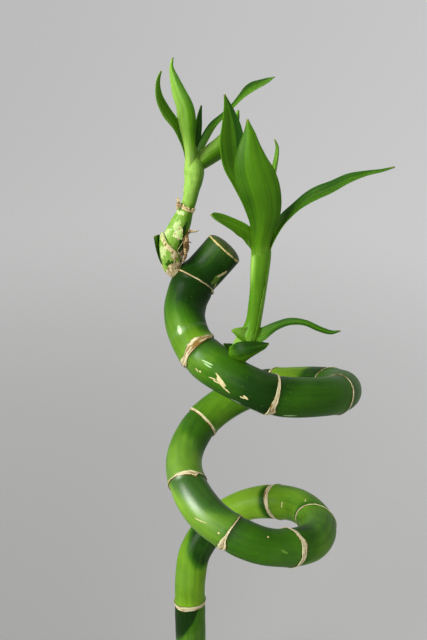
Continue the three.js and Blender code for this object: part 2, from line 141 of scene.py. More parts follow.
# Stalks: centre line and diameter, from the root up.
LEFT_STALK = [
    (-1, -17, 354, 4.5), (-3, -17, 356.5, 6.4), (-3.5, -17, 360.5, 7.8), (-3, -17, 364, 8.3),
    (-2.2, -17, 367, 8.2), (-0.9, -16.5, 370, 7.6), (0.5, -16, 373, 6.8), (1.9, -16, 376.5, 5.4),
    (3.3, -15.5, 380, 4.9), (4, -15.5, 383.5, 5.5), (4.8, -15, 387, 6.4), (5, -15, 390.5, 6.8),
    (4.4, -15.5, 395, 4.8), (4, -16, 399, 3),
]
LEFT_BRANCH = [
    (4, -15, 389, 4.4), (5.5, -14.5, 391.5, 5.1), (8, -13.5, 393.2, 5.8), (10.5, -12.5, 395, 6.5),
    (13.5, -11.5, 397, 6.6), (16, -10.5, 399.5, 6), (17.5, -10, 402, 4.6), (18.8, -9.5, 404.6, 3),
    (19.6, -9, 407, 1.8), (20, -8.5, 409, 0.8),
]
RIGHT_STALK = [
    (19, -40, 329.5, 5.2), (20, -40.5, 331.5, 6), (21, -40.5, 334.5, 6.9), (22.5, -40, 337.5, 7.2),
    (23.9, -39.5, 341, 5.9), (24.8, -39, 344.5, 5), (25.5, -38.5, 350, 5.1), (26.1, -38, 356, 5.4),
    (26.4, -38, 362, 6), (26.7, -37.5, 367, 6.2), (26.5, -37, 372, 5.6), (26, -36.5, 377, 4),
    (25.5, -36, 381, 2.4),
]

# Leaves: spine with width from the root to the tip, the way the hollow side looks at the root and at the
# tip, depth of the hollow as a share of the width, then how pale it is at one edge, at the rib, at the
# other edge and at the root. For leaves that lie in shade these tones hold painted shade too.
LEAVES = {
    "left_leaf_main": dict(
        spine=[(3.6, -17, 390, 3), (3.7, -18.4, 397, 3.5), (3.3, -18.9, 402, 5), (2.8, -19, 406.5, 6.3),
               (2.1, -18, 410.5, 6.3), (0.3, -16, 414.5, 5.3), (-1.3, -13.7, 419, 3.5),
               (-2.1, -12, 422.6, 1.5), (-1.6, -11, 425.3, 0.6)],
        face=((0.1, 1, 0.1), (0.5, 1, 0.3)), cup=0.14, tones=(0.3, 0.62, 0.74), root=0.92),
    # Its darker edge is painted shade on the inner half of its fold.
    "left_leaf_outer": dict(
        spine=[(3, -15.5, 392, 3), (1.9, -16.5, 397.8, 3.4), (0.7, -17.5, 401.2, 3.8), (-0.9, -19, 405, 4.4),
               (-3.8, -21, 409.2, 4.6), (-5.5, -22.4, 413, 3.6), (-5.8, -23.8, 416.8, 2.4),
               (-5.3, -24.6, 419.3, 1.5), (-4.4, -25, 421.1, 0.6)],
        face=((0.7, -0.4, 0.5), (0.8, -0.6, -0.1)), cup=0.16, tones=(0.66, 0.5, 0.36), root=0.5),
    # Dark all over: painted shade, as it faces away from the light.
    "left_leaf_inner": dict(
        spine=[(4.8, -13.5, 391, 2.4), (5.4, -11.5, 396, 2.9), (6, -10, 400.5, 3), (6.5, -9, 404.5, 2.6),
               (7, -8, 408, 1.5), (7.5, -7, 410.5, 0.6)],
        face=((0.5, -1, 0), (0.5, -1, 0)), cup=0.08, tones=(0.26, 0.2, 0.12), root=0.2),
    "left_leaf_long": dict(
        spine=[(5, -13.5, 391.5, 2.8), (6.5, -12, 396, 3.6), (9, -10, 400.6, 3.9), (11.5, -8, 404.2, 3.7),
               (15.3, -5, 407.5, 3), (18.7, -2, 410.5, 2.4), (21.8, 0.7, 413.4, 3.8), (25, 3, 415.8, 6.8),
               (28.5, 5.5, 417.4, 7.2), (31.5, 8, 418.8, 3.6), (33.5, 9.5, 419.5, 0.6)],
        face=((-0.7, -0.8, 0.3), (-0.3, -0.3, 1)), cup=0.1, tones=(0.22, 0.36, 0.42), root=0.3),
    "right_leaf_broad": dict(
        spine=[(26.4, -38.4, 361, 3.6), (26.4, -39.5, 366.5, 5), (26.3, -40.6, 372, 6.4),
               (26.9, -41.7, 377, 8.2), (26.9, -42.6, 381, 10.4), (26, -43.5, 386, 11.9),
               (24.5, -44, 390.5, 12.2), (22.9, -44, 395, 10.7), (22.2, -43.3, 399.5, 7.6),
               (22, -41.8, 404, 3.8), (21.5, -40, 408, 0.6)],
        face=((0, 1, 0.1), (0, 1, 0.1)), cup=0.16, tones=(0.36, 0.4, 0.3), root=0.72),
    # Dark, darkest at one edge: painted shade, as it stands behind in shadow.
    "right_leaf_back": dict(
        spine=[(26.3, -35.5, 371, 3.6), (25, -33.2, 377, 4.4), (22.9, -31.6, 383, 5.2),
               (20.4, -30.2, 389, 6.8), (18.3, -29, 394, 8.2), (17.4, -28, 400, 8.4), (17, -27, 405.5, 6.2),
               (16.1, -26, 410.5, 3), (15, -25.5, 414.5, 0.6)],
        face=((0.3, -1, 0.2), (0.3, -1, 0.2)), cup=0.16, tones=(0.42, 0.3, 0.12), root=0.5),
    "right_leaf_short": dict(
        spine=[(25.6, -38.3, 368, 3.2), (24.2, -39.3, 371.3, 4.2), (21.8, -40.8, 374.4, 5),
               (18.5, -42.6, 376.7, 5.8), (15, -45, 379, 6.2), (12.4, -47.2, 380.7, 4.6),
               (10.9, -48.5, 381.9, 0.6)],
        face=((-0.3, -1, 0.5), (0.2, -0.4, 1)), cup=0.12, tones=(0.5, 0.48, 0.42), root=0.85),
    "right_leaf_narrow": dict(
        spine=[(26.8, -35.3, 370, 4.5), (28, -32, 376, 6.5), (29, -29.5, 381.5, 7.5),
               (30.3, -27.3, 387, 7.5), (31.3, -25.3, 392, 6.5), (32, -24.6, 396, 4.6),
               (32, -24.6, 398.7, 3), (31, -25, 401, 0.6)],
        face=((-1, -0.1, 0.2), (-1, -0.1, -0.2)), cup=0.12, tones=(0.55, 0.55, 0.5), root=0.6),
    "right_leaf_long": dict(
        spine=[(28, -37.3, 363.5, 3), (29, -37, 368.5, 4.2), (30.5, -37.2, 373, 5.2), (33.4, -38, 378, 5.3),
               (37.2, -39.6, 382.3, 5), (41, -41, 385.7, 6.1), (46.5, -43, 388.7, 6.3),
               (51.5, -45, 391.7, 5.1), (56, -46.6, 393.5, 2.8), (60, -48.2, 394.6, 1.6),
               (63, -49.5, 395.8, 0.6)],
        face=((-1, -0.5, 0.6), (-0.2, -0.3, 1)), cup=0.14, tones=(0.22, 0.28, 0.3), root=0.85),
    "right_leaf_strap": dict(
        spine=[(24, -40.6, 338.6, 4.8), (25.6, -41.2, 339.7, 5.2), (27.8, -41.6, 340.7, 4.8),
               (29.6, -42.2, 342.2, 4), (32, -43.2, 344.2, 3.3), (36, -45.5, 346.7, 2.8),
               (40.5, -47.8, 347.3, 2.3), (45, -50, 346, 2.2), (48.5, -51.2, 345.4, 1.8),
               (51, -52, 346.3, 0.6)],
        face=((-0.4, -0.9, 0.8), (0, -0.3, 1)), cup=0.1, tones=(0.22, 0.3, 0.18), root=0.4),
}
BRACTS = {
    "right_bract_boat": dict(
        spine=[(17.4, -42, 333.6, 5), (19.7, -44.6, 335.2, 6.6), (21.9, -45.6, 336.4, 6.4),
               (24.2, -45.2, 336.9, 5.1), (26.6, -44, 337.1, 3.8), (28.4, -43.1, 337.2, 2.5),
               (29.8, -42.4, 337.7, 0.6)],
        face=((0.2, 1, -0.2), (-0.3, 1, -0.2)), cup=0.24, tones=(0.4, 0.24, 0.14), root=0.4),
    "right_bract_dark": dict(
        spine=[(18.5, -38, 333.5, 4), (16.8, -37.3, 334.2, 3), (15, -36.6, 335, 0.6)],
        face=((0.2, -0.6, 1), (0.2, -0.6, 1)), cup=0.15, tones=(0.0, 0.0, 0.0), root=0.0),
    "right_bract_small": dict(
        spine=[(23.6, -41.6, 340.2, 4.6), (22, -42.7, 341, 5), (20.3, -43.3, 341.9, 3.9),
               (18.9, -43.5, 342.5, 2.4), (17.5, -43.6, 342.9, 0.6)],
        face=((0.3, -1, 0.5), (0.3, -1, 0.5)), cup=0.2, tones=(0.5, 0.62, 0.6), root=0.62),
    "left_scale_cup": dict(
        spine=[(-4.5, -17, 355.5, 3.6), (-6.5, -17.2, 358.6, 4.6), (-7.5, -17.3, 362, 4.8),
               (-8.1, -17.4, 365, 4.4), (-8.6, -17.5, 367.8, 3.4)],
        face=((1, -0.3, 0.5), (1, -0.5, 0)), cup=0.24, tones=(0.1, 0.6, 0.1), root=0.3),
}


def paint(red, green, blue):
    """A screen colour, 0 to 255, as the linear numbers that a shader takes."""
    share = np.array([red, green, blue]) / 255
    linear = np.where(share <= 0.04045, share / 12.92, ((share + 0.055) / 1.055) ** 2.4)
    return tuple(float(channel) for channel in linear)


# ---------------------------------------------------------------- what a user can change
def colour_property(name, description, default):
    return FloatVectorProperty(
        name=name, description=description, subtype="COLOR", size=3, min=0, max=1, default=default)


def length_property(name, description, default, low, high):
    """A length whose default and limits are given in millimetres."""
    return FloatProperty(
        name=name, description=description, default=default * MM, min=low * MM, max=high * MM, unit="LENGTH",
        precision=5)


class CaneSettings(PropertyGroup):
    sides: IntProperty(name="Sides", description="Faces round the cane", default=56, min=16, max=128)
    step: length_property("Row length", "Length of one row of faces along the cane", 1.2, 0.5, 6)
    gloss: FloatProperty(
        name="Roughness", description="Roughness of the waxy skin", default=0.4, min=0.05, max=1,
        subtype="FACTOR")
    deep: colour_property("Deep green", "The dark part below each scar", paint(20, 50, 8))
    middle: colour_property("Middle green", "Most of the cane", paint(52, 96, 14))
    pale: colour_property("Pale green", "The young part above each scar", paint(112, 154, 34))
    paper: colour_property("Dry band", "The papery rest of the leaf round each scar", paint(192, 184, 146))
    bark: colour_property("Brown of the band", "Streaks in the papery bands", paint(124, 94, 40))


class ShootSettings(PropertyGroup):
    leaf_thickness: length_property("Leaf thickness", "Thickness of a leaf at its rib", 0.5, 0.1, 2)
    deep: colour_property("Leaf shade", "The darker parts of the leaves", paint(28, 62, 8))
    middle: colour_property("Leaf green", "Most of each leaf", paint(78, 126, 14))
    pale: colour_property("Leaf light", "The palest parts of the leaves", paint(164, 204, 96))
    husk: colour_property("Dry scale", "Scales that have dried", paint(196, 178, 128))
    husk_dark: colour_property("Scale edge", "Brown edges of the scales", paint(120, 88, 52))


class VaseSettings(PropertyGroup):
    height: length_property("Height", "Height of the vase", 100, 50, 200)
    rim_radius: length_property("Rim radius", "Radius at the rim", 38, 20, 80)
    base_radius: length_property("Base radius", "Radius at the foot", 34, 20, 80)
    wall: length_property("Wall", "Thickness of the wall", 3.5, 1, 10)
    glaze: colour_property("Glaze", "Colour of the glaze", paint(232, 228, 218))
    clay: colour_property("Clay", "The bare clay of the foot", paint(186, 158, 128))
    stones: IntProperty(
        name="Stones", description="Pebbles at the top of the bed", default=86, min=10, max=300)
    stone: colour_property("Stone", "Colour of the pebbles", paint(176, 170, 158))


class StageSettings(PropertyGroup):
    backdrop: colour_property("Backdrop", "The plain backdrop and floor", (0.16, 0.16, 0.16))
    glow: FloatProperty(name="Glow", description="Even light of the backdrop", default=0.208, min=0, max=1)
    key_light: FloatProperty(
        name="Key light", description="Power of the large soft light", default=28, min=0, max=200,
        unit="POWER")
    window_light: FloatProperty(
        name="Window", description="Power of the window that only shows in the gloss", default=42, min=0,
        max=300, unit="POWER")
    sky: FloatProperty(
        name="Sky", description="Strength of the even light from above", default=0.4, min=0, max=5)


# ---------------------------------------------------------------- shader sums
class Wire:
    """One output of a node. Sums on it become Math nodes."""

    def __init__(self, recipe, socket):
        self.recipe = recipe
        self.socket = socket

    def _sum(self, operation, first, second):
        return self.recipe.node("ShaderNodeMath", {"operation": operation}, {0: first, 1: second})

    def __add__(self, other):
        return self._sum("ADD", self, other)

    def __radd__(self, other):
        return self._sum("ADD", other, self)

    def __sub__(self, other):
        return self._sum("SUBTRACT", self, other)

    def __rsub__(self, other):
        return self._sum("SUBTRACT", other, self)

    def __mul__(self, other):
        return self._sum("MULTIPLY", self, other)

    def __rmul__(self, other):
        return self._sum("MULTIPLY", other, self)

    def __truediv__(self, other):
        return self._sum("DIVIDE", self, other)

    def size(self):
        return self._sum("ABSOLUTE", self, 0)

    def least(self, other):
        return self._sum("MINIMUM", self, other)

    def most(self, other):
        return self._sum("MAXIMUM", self, other)

    def wave(self):
        return self._sum("SINE", self, 0)


class Recipe:
    """Builds one material out of nodes."""

    def __init__(self, name):
        self.material = bpy.data.materials.new(name)
        self.material.use_nodes = True
        self.tree = self.material.node_tree
        self.tree.nodes.clear()

    def node(self, kind, settings=None, inputs=None, output=0):
        node = self.tree.nodes.new(kind)
        for key, value in (settings or {}).items():
            if key == "stops":
                stops = node.color_ramp.elements
                while len(stops) < len(value):
                    stops.new(0.5)
                for stop, (place, colour) in zip(stops, value):
                    stop.position = place
                    stop.color = (*colour, 1)
            else:
                setattr(node, key, value)
        for key, value in (inputs or {}).items():
            if isinstance(value, Wire):
                self.tree.links.new(value.socket, node.inputs[key])
            else:
                node.inputs[key].default_value = value
        return Wire(self, node.outputs[output])

    def attribute(self, name, output="Fac"):
        return self.node("ShaderNodeAttribute", {"attribute_name": name}, output=output)

    def place(self):
        return self.node("ShaderNodeTexCoord", output="Object")

    def stretched(self, vector, scale):
        return self.node("ShaderNodeVectorMath", {"operation": "MULTIPLY"}, {0: vector, 1: scale})

    def part(self, vector, axis):
        return self.node("ShaderNodeSeparateXYZ", inputs={0: vector}, output=axis)

    def noise(self, vector, scale, detail=2.0, roughness=0.5):
        return self.node("ShaderNodeTexNoise", inputs={
            "Vector": vector, "Scale": scale, "Detail": detail, "Roughness": roughness})

    def long_noise(self, vector, scale, detail=2.0, roughness=0.5):
        """Noise with a scale of its own along each axis, as fibres and streaks have."""
        return self.noise(self.stretched(vector, scale), 1.0, detail, roughness)

    def specks(self, vector, scale):
        return self.node("ShaderNodeTexVoronoi", inputs={"Vector": vector, "Scale": scale})

    def smooth(self, value, low, high):
        return self.node(
            "ShaderNodeMapRange", {"interpolation_type": "SMOOTHSTEP"},
            {0: value, 1: low, 2: high, 3: 0.0, 4: 1.0})

    def ramp(self, value, stops):
        return self.node("ShaderNodeValToRGB", {"stops": stops}, {0: value})

    def mix(self, share, first, second):
        first, second = [colour if isinstance(colour, Wire) else (*colour, 1) for colour in (first, second)]
        return self.node("ShaderNodeMix", {"data_type": "RGBA"}, {0: share, 6: first, 7: second}, output=2)

    def bump(self, height, strength, distance):
        return self.node(
            "ShaderNodeBump", inputs={"Height": height, "Strength": strength, "Distance": distance})

    def finish(self, inputs):
        skin = self.node("ShaderNodeBsdfPrincipled", inputs=inputs)
        out = self.tree.nodes.new("ShaderNodeOutputMaterial")
        self.tree.links.new(skin.socket, out.inputs["Surface"])
        return self.material


def toned(colour, by, plus=0):
    """A colour made paler or darker."""
    return [min(1, channel * by + plus) for channel in colour]


def flesh(weight, red, blue, reach):
    """Light that goes into living tissue: its share, then its reach in red and in blue beside green."""
    return {"Subsurface Weight": weight, "Subsurface Radius": (red, 1.0, blue), "Subsurface Scale": reach}


def stalk_green(recipe, tone, settings):
    return recipe.ramp(tone, [
        (0.0, settings.deep), (0.35, settings.middle), (0.75, settings.pale),
        (1.0, toned(settings.pale, 1.2, 0.06))])


# ---------------------------------------------------------------- shape helpers
def unit(vectors):
    return vectors / np.linalg.norm(vectors, axis=-1, keepdims=True)


def smoothstep(value, low, high):
    share = np.clip((value - low) / (high - low), 0, 1)
    return share * share * (3 - 2 * share)


def eased(pairs, place):
    """Value of a list of places and values at each place, eased between neighbours."""
    at = np.array([pair[0] for pair in pairs], float)
    value = np.array([pair[1] for pair in pairs], float)
    after = np.clip(np.searchsorted(at, place), 1, len(at) - 1)
    share = np.clip((place - at[after - 1]) / (at[after] - at[after - 1]), 0, 1)
    return value[after - 1] + (value[after] - value[after - 1]) * share * share * (3 - 2 * share)


def columns(*parts):
    """Points from their three coordinates, each a list or one number for all."""
    return np.stack(np.broadcast_arrays(*parts), axis=1)


def cylinder(angle, radius, height):
    """Points round an upright axis."""
    return columns(radius * np.cos(angle), radius * np.sin(angle), height)


def around(place, front, side, radius, angle):
    """Points round a bent centre line, at an angle from its front."""
    return place + front * (radius * np.cos(angle))[:, None] + side * (radius * np.sin(angle))[:, None]


def ripple(points, scale, seed=0.0):
    """Soft noise from -1 to 1 at each point."""
    return np.array([
        noise.noise(Vector((x * scale + seed, y * scale - seed, z * scale))) for x, y, z in points])


class Path:
    """A smooth line through rows of x, y, z and any further columns, read by the distance along it."""

    def __init__(self, rows, fine=40):
        rows = np.array(rows, float)
        ends = np.vstack([2 * rows[0] - rows[1], rows, 2 * rows[-1] - rows[-2]])
        held = np.vstack([rows[0], rows, rows[-1]])
        share = np.linspace(0, 1, fine, endpoint=False)[:, None]
        places, values = [], []
        for i in range(len(rows) - 1):
            a, b, c, d = ends[i:i + 4, :3]
            ab, bc, cd = [np.linalg.norm(second - first) ** 0.5 for first, second in ((a, b), (b, c), (c, d))]
            leave = ((b - a) / ab - (c - a) / (ab + bc) + (c - b) / bc) * bc
            arrive = ((c - b) / bc - (d - b) / (bc + cd) + (d - c) / cd) * bc
            places.append(self._cubic(b, c, leave, arrive, share))
            a, b, c, d = held[i:i + 4, 3:]
            values.append(self._cubic(b, c, (c - a) / 2, (d - b) / 2, share))
        self.place = np.vstack([*places, rows[-1:, :3]])
        self.value = np.vstack([*values, rows[-1:, 3:]])
        steps = np.linalg.norm(np.diff(self.place, axis=0), axis=1)
        self.distance = np.concatenate([[0], np.cumsum(steps)])
        self.length = float(self.distance[-1])
        self.forward = unit(np.gradient(self.place, self.distance, axis=0))

    @staticmethod
    def _cubic(start, end, leave, arrive, share):
        return (start + leave * share + (3 * (end - start) - 2 * leave - arrive) * share ** 2
                + (2 * (start - end) + leave + arrive) * share ** 3)

    def at(self, distance):
        """Place, direction and further columns at each distance."""
        place, forward, value = [
            np.stack([np.interp(distance, self.distance, column) for column in table.T], axis=-1)
            if table.shape[1] else None for table in (self.place, self.forward, self.value)]
        return place, unit(forward), value


def upright_tube(sides, heights, closed=False):
    """A tube of radius 1 with a row of vertices at each height, open at its ends unless closed."""
    bm = bmesh.new()
    bmesh.ops.create_circle(bm, segments=sides, radius=1)
    bmesh.ops.translate(bm, verts=bm.verts, vec=(0, 0, heights[0]))
    edges = bm.edges[:]
    for low, high in zip(heights, heights[1:]):
        made = bmesh.ops.extrude_edge_only(bm, edges=edges)["geom"]
        row = [piece for piece in made if isinstance(piece, bmesh.types.BMVert)]
        edges = [
            piece for piece in made if isinstance(piece, bmesh.types.BMEdge) and set(piece.verts) <= set(row)]
        bmesh.ops.translate(bm, verts=row, vec=(0, 0, high - low))
    if closed:
        bmesh.ops.holes_fill(bm, edges=[edge for edge in bm.edges if edge.is_boundary], sides=0)
    return bm


def to_mesh(bm, name):
    mesh = bpy.data.meshes.new(name)
    bm.to_mesh(mesh)
    bm.free()
    return mesh


def corners(mesh):
    flat = np.empty(len(mesh.vertices) * 3)
    mesh.vertices.foreach_get("co", flat)
    return flat.reshape(-1, 3)


def unrolled(mesh):
    """Angle and height of each vertex of an upright tube."""
    flat = corners(mesh)
    return np.arctan2(flat[:, 1], flat[:, 0]), flat[:, 2]


def sleeve(name, sides=120, rows=8, closed=False):
    """An upright tube of even rows, with each vertex's angle and share of the height."""
    mesh = to_mesh(upright_tube(sides, [k / rows for k in range(rows + 1)], closed), name)
    return mesh, *unrolled(mesh)


def move_corners(mesh, places):
    """Puts each vertex at its place, given in millimetres."""
    mesh.vertices.foreach_set("co", (places * MM).ravel())
    mesh.update()


def add_value(mesh, name, values):
    """Gives each vertex its number or its vector. One number goes to all."""
    if np.ndim(values) == 0:
        values = np.full(len(mesh.vertices), float(values))
    kind, field = ("FLOAT_VECTOR", "vector") if np.ndim(values) == 2 else ("FLOAT", "value")
    mesh.attributes.new(name, kind, "POINT").data.foreach_set(field, np.ravel(values))


def outward(mesh):
    bm = bmesh.new()
    bm.from_mesh(mesh)
    bmesh.ops.recalc_face_normals(bm, faces=bm.faces)
    bm.to_mesh(mesh)
    bm.free()


def add_piece(name, mesh, material, replaces=(), ride=True):
    """Puts a finished mesh in the scene as one piece of the plant."""
    piece = bpy.data.objects.new(name, mesh)
    bpy.context.scene.collection.objects.link(piece)
    mesh.materials.append(material)
    mesh.shade_smooth()
    if ride:
        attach(piece, "root")
        if replaces:
            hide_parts(*replaces)
    return piece


def add_shell(piece, thickness):
    """Gives a thin piece its thickness."""
    shell = piece.modifiers.new("thickness", "SOLIDIFY")
    shell.thickness, shell.offset = thickness, 0
    return shell


def add_paper(mesh, lay, brown, material, thickness):
    """Finishes a papery piece: the lay of its fibres, how brown it is and how thick."""
    add_value(mesh, "straight", lay)
    add_value(mesh, "brown", brown)
    outward(mesh)
    add_shell(add_piece(mesh.name, mesh, material), thickness)


# ---------------------------------------------------------------- cane
def cane_path():
    coil = []
    for turn, reach, height in COIL:
        angle = math.radians(turn)
        coil.append((COIL_AXIS[0] + reach * math.cos(angle), COIL_AXIS[1] + reach * math.sin(angle), height))
    return Path([*CUT_END, *coil, *[(0, 0, height) for height in FOOT_HEIGHTS]])


def tilted(distance, angle):
    """Where a row of the cane really passes: rows near a scar lie askew as the scar does."""
    place = distance.copy()
    for centre, tilt, side, *_ in SCARS:
        share = np.exp(-((distance - centre) / SCAR_LEAN) ** 2)
        place = place + tilt * share * np.cos(angle - math.radians(side)) * (distance > 0)
    return place


def cane_frame(path, distance):
    """Place, direction, and the way out from the coil's axis, at each distance."""
    place, forward, _ = path.at(distance)
    out = place - np.array([*COIL_AXIS, 0])
    out[:, 2] = 0
    out = unit(out - forward * np.sum(out * forward, axis=1, keepdims=True))
    return place, forward, out, np.cross(forward, out)


def on_cane(path, distance, angle, radius, beyond=0.0):
    place, forward, out, side = cane_frame(path, tilted(np.maximum(distance, 0), angle))
    return around(place - forward * np.reshape(beyond, (-1, 1)), out, side, radius, angle)


def from_scar(distance):
    """Number of the stretch each place is in, and how far it lies from the scars above and below it."""
    centres = np.array([scar[0] for scar in SCARS], float)
    stretch = np.searchsorted(centres, distance, side="right")
    below = distance - np.concatenate([[BEFORE_CUT], centres])[stretch]
    above = np.concatenate([centres, [PAST_FOOT]])[stretch] - distance
    return stretch, below, above


def cane_radius(distance):
    """Radius with the swelling above each scar and the waist below it."""
    radius = eased(CANE_RADIUS, distance)
    for centre, *_ in SCARS:
        off = distance - centre
        radius = radius + SCAR_SWELL * np.exp(-((off + 0.9) / 1.5) ** 2)
        radius = radius - SCAR_SWELL * np.exp(-((off - 1.6) / 1.3) ** 2)
    return radius


def cane_rows(length, step):
    rows = [0.0]
    centres = [scar[0] for scar in SCARS]
    bounds = [centre + shift for centre in centres for shift in (-SCAR_REACH, SCAR_REACH)]
    edges = sorted([0, FOOT_START, length, *bounds])
    for low, high in zip(edges, edges[1:]):
        near = any(abs((low + high) / 2 - centre) < SCAR_REACH for centre in centres)
        size = SCAR_ROW if near else step if high <= FOOT_START else FOOT_ROW
        count = max(1, math.ceil((high - low) / size))
        rows += [low + (high - low) * k / count for k in range(1, count + 1)]
    return rows


class BAMBOO_OT_cane(Operator):
    """Make the curled cane with its cut and sealed end"""

    bl_idname = "bamboo.cane"
    bl_label = "Cane"

    def execute(self, context):
        settings = context.scene.bamboo_cane
        path = cane_path()
        rows = cane_rows(path.length, settings.step / MM)
        bm = upright_tube(settings.sides, [-height for _, height in reversed(CAP)] + rows, closed=True)
        bmesh.ops.recalc_face_normals(bm, faces=bm.faces)
        mesh = to_mesh(bm, "cane")
        angle, distance = unrolled(mesh)
        capped = np.interp(-distance, [0] + [height for _, height in CAP], [1] + [share for share, _ in CAP])
        radius = cane_radius(np.maximum(distance, 0)) * capped
        straight = cylinder(angle, radius, distance)
        radius = radius + 0.12 * ripple(straight, 0.09, 3.1)
        radius = radius + 0.05 * ripple(straight * (1, 1, 0.3), 0.35, 8.2)
        move_corners(mesh, on_cane(path, distance, angle, radius, np.maximum(-distance, 0)))
        stretch, below, above = from_scar(distance)
        turn = np.linspace(-math.pi, math.pi, 361)
        count, every = len(SCARS), np.arange(len(angle))
        edges = np.array([
            np.interp(angle, turn, edge) for number in range(count) for edge in band_edges(number, turn)])
        below_band = below - np.where(stretch > 0, edges[2 * np.maximum(stretch, 1) - 1, every], 0)
        above_band = above - np.where(stretch < count, edges[2 * np.minimum(stretch, count - 1), every], 0)
        top, foot, dark, longer, side, soft, depth = np.array(STRETCHES, float)[stretch].T
        share = (below / (below + above)) ** 1.4
        # Dark part below each scar: partly the cane's own deeper green, partly painted shade on the coil's
        # inner side.
        edge = dark + longer * np.cos(angle - np.radians(side)) + 1.5 * ripple(straight, 0.12, 5.5)
        shade = 1 - smoothstep(below, edge - soft, edge + soft)
        tone = (top + (foot - top) * share) * (1 - depth * shade)
        for name, values in (
                ("straight", straight), ("tone", tone), ("below_scar", np.maximum(below_band, 0)),
                ("above_scar", np.maximum(above_band, 0))):
            add_value(mesh, name, values)
        add_piece("cane", mesh, cane_skin(settings), ["cane"])
        return {"FINISHED"}


def towards(recipe, straight, side):
    """How far each place of a stem lies towards a side, given in degrees."""
    angle = math.radians(side)
    return recipe.part(straight, 0) * math.cos(angle) + recipe.part(straight, 1) * math.sin(angle)


def scratch(recipe, straight, wobble, along, side, length, width, turn, facing_from=2.0):
    """Share of a healed scratch at each place of a stem, from where it is, its size and its turn."""
    angle, lean = math.radians(side), math.radians(turn)
    across = recipe.part(straight, 1) * math.cos(angle) - recipe.part(straight, 0) * math.sin(angle)
    facing = towards(recipe, straight, side)
    down = recipe.part(straight, 2) - along
    first = (down * math.cos(lean) + across * math.sin(lean)) / length
    second = (across * math.cos(lean) - down * math.sin(lean)) / width
    inside = 1 - first * first - second * second + wobble
    return recipe.smooth(inside, 0.0, 0.45) * recipe.smooth(facing, facing_from, 2 * facing_from)


def scratches(recipe, straight, wobble, table, *more):
    """The strongest share of all the scratches in a table."""
    first, *rest = [scratch(recipe, straight, wobble, *numbers, *more) for numbers in table]
    for mark in rest:
        first = first.most(mark)
    return first


# Healed scratches: distance along the cane, side in degrees, half length, half width, turn.
SCRATCHES = [
    (58.6, 348, 3.0, 0.42, 30), (58.9, 354, 2.1, 0.95, 34), (61.1, 9, 2.2, 0.3, 23),
    (56.2, 356, 1.7, 0.26, -9), (57.6, 0, 1.3, 0.32, 4), (66.4, 10, 0.8, 0.3, 0), (67.3, 6, 1.0, 0.42, 30),
    (49.8, 358, 1.1, 0.28, 25), (51.2, 357, 0.5, 0.36, 0), (346.6, 204, 0.45, 1.6, 8),
    (277.4, 290, 0.4, 0.4, 0), (254.9, 333, 2.4, 0.22, -20), (332.9, 254, 1.6, 0.24, 35),
    (328.8, 268, 1.0, 0.2, 60), (262.3, 333, 0.5, 0.36, 30), (6.7, 218, 2.6, 0.75, 22),
    (11.7, 196, 1.6, 0.3, -50),
]
# Pale lines where the skin has only been grazed; the one at 37.1 is a painted glint on the bend.
GRAZES_AND_GLINT = [
    (52.0, 325, 2.4, 0.32, -4), (52.6, 331, 1.9, 0.28, 2), (65.0, 41, 2.2, 0.4, 0), (71.0, 52, 2.6, 0.4, 5),
    (37.1, 318, 1.3, 0.75, 25), (80.1, 36, 2.2, 0.4, -5),
]
# Where the skin has been peeled.
PEELS = [(10.4, 216, 2.6, 1.2, -6), (8.4, 222, 1.8, 1.1, 20), (283.2, 331, 1.4, 0.5, 32)]
# Where the gloss is stronger: how much, distance along the cane, and how far from there it ends and is full.
POLISHED = [(0.55, 37.4, 1.1, 0.1), (0.2, 46.0, 6.0, 2.5), (0.9, 247.0, 28.0, 8.0)]
# The side that the last of these faces, in degrees.
POLISHED_SIDE = 305


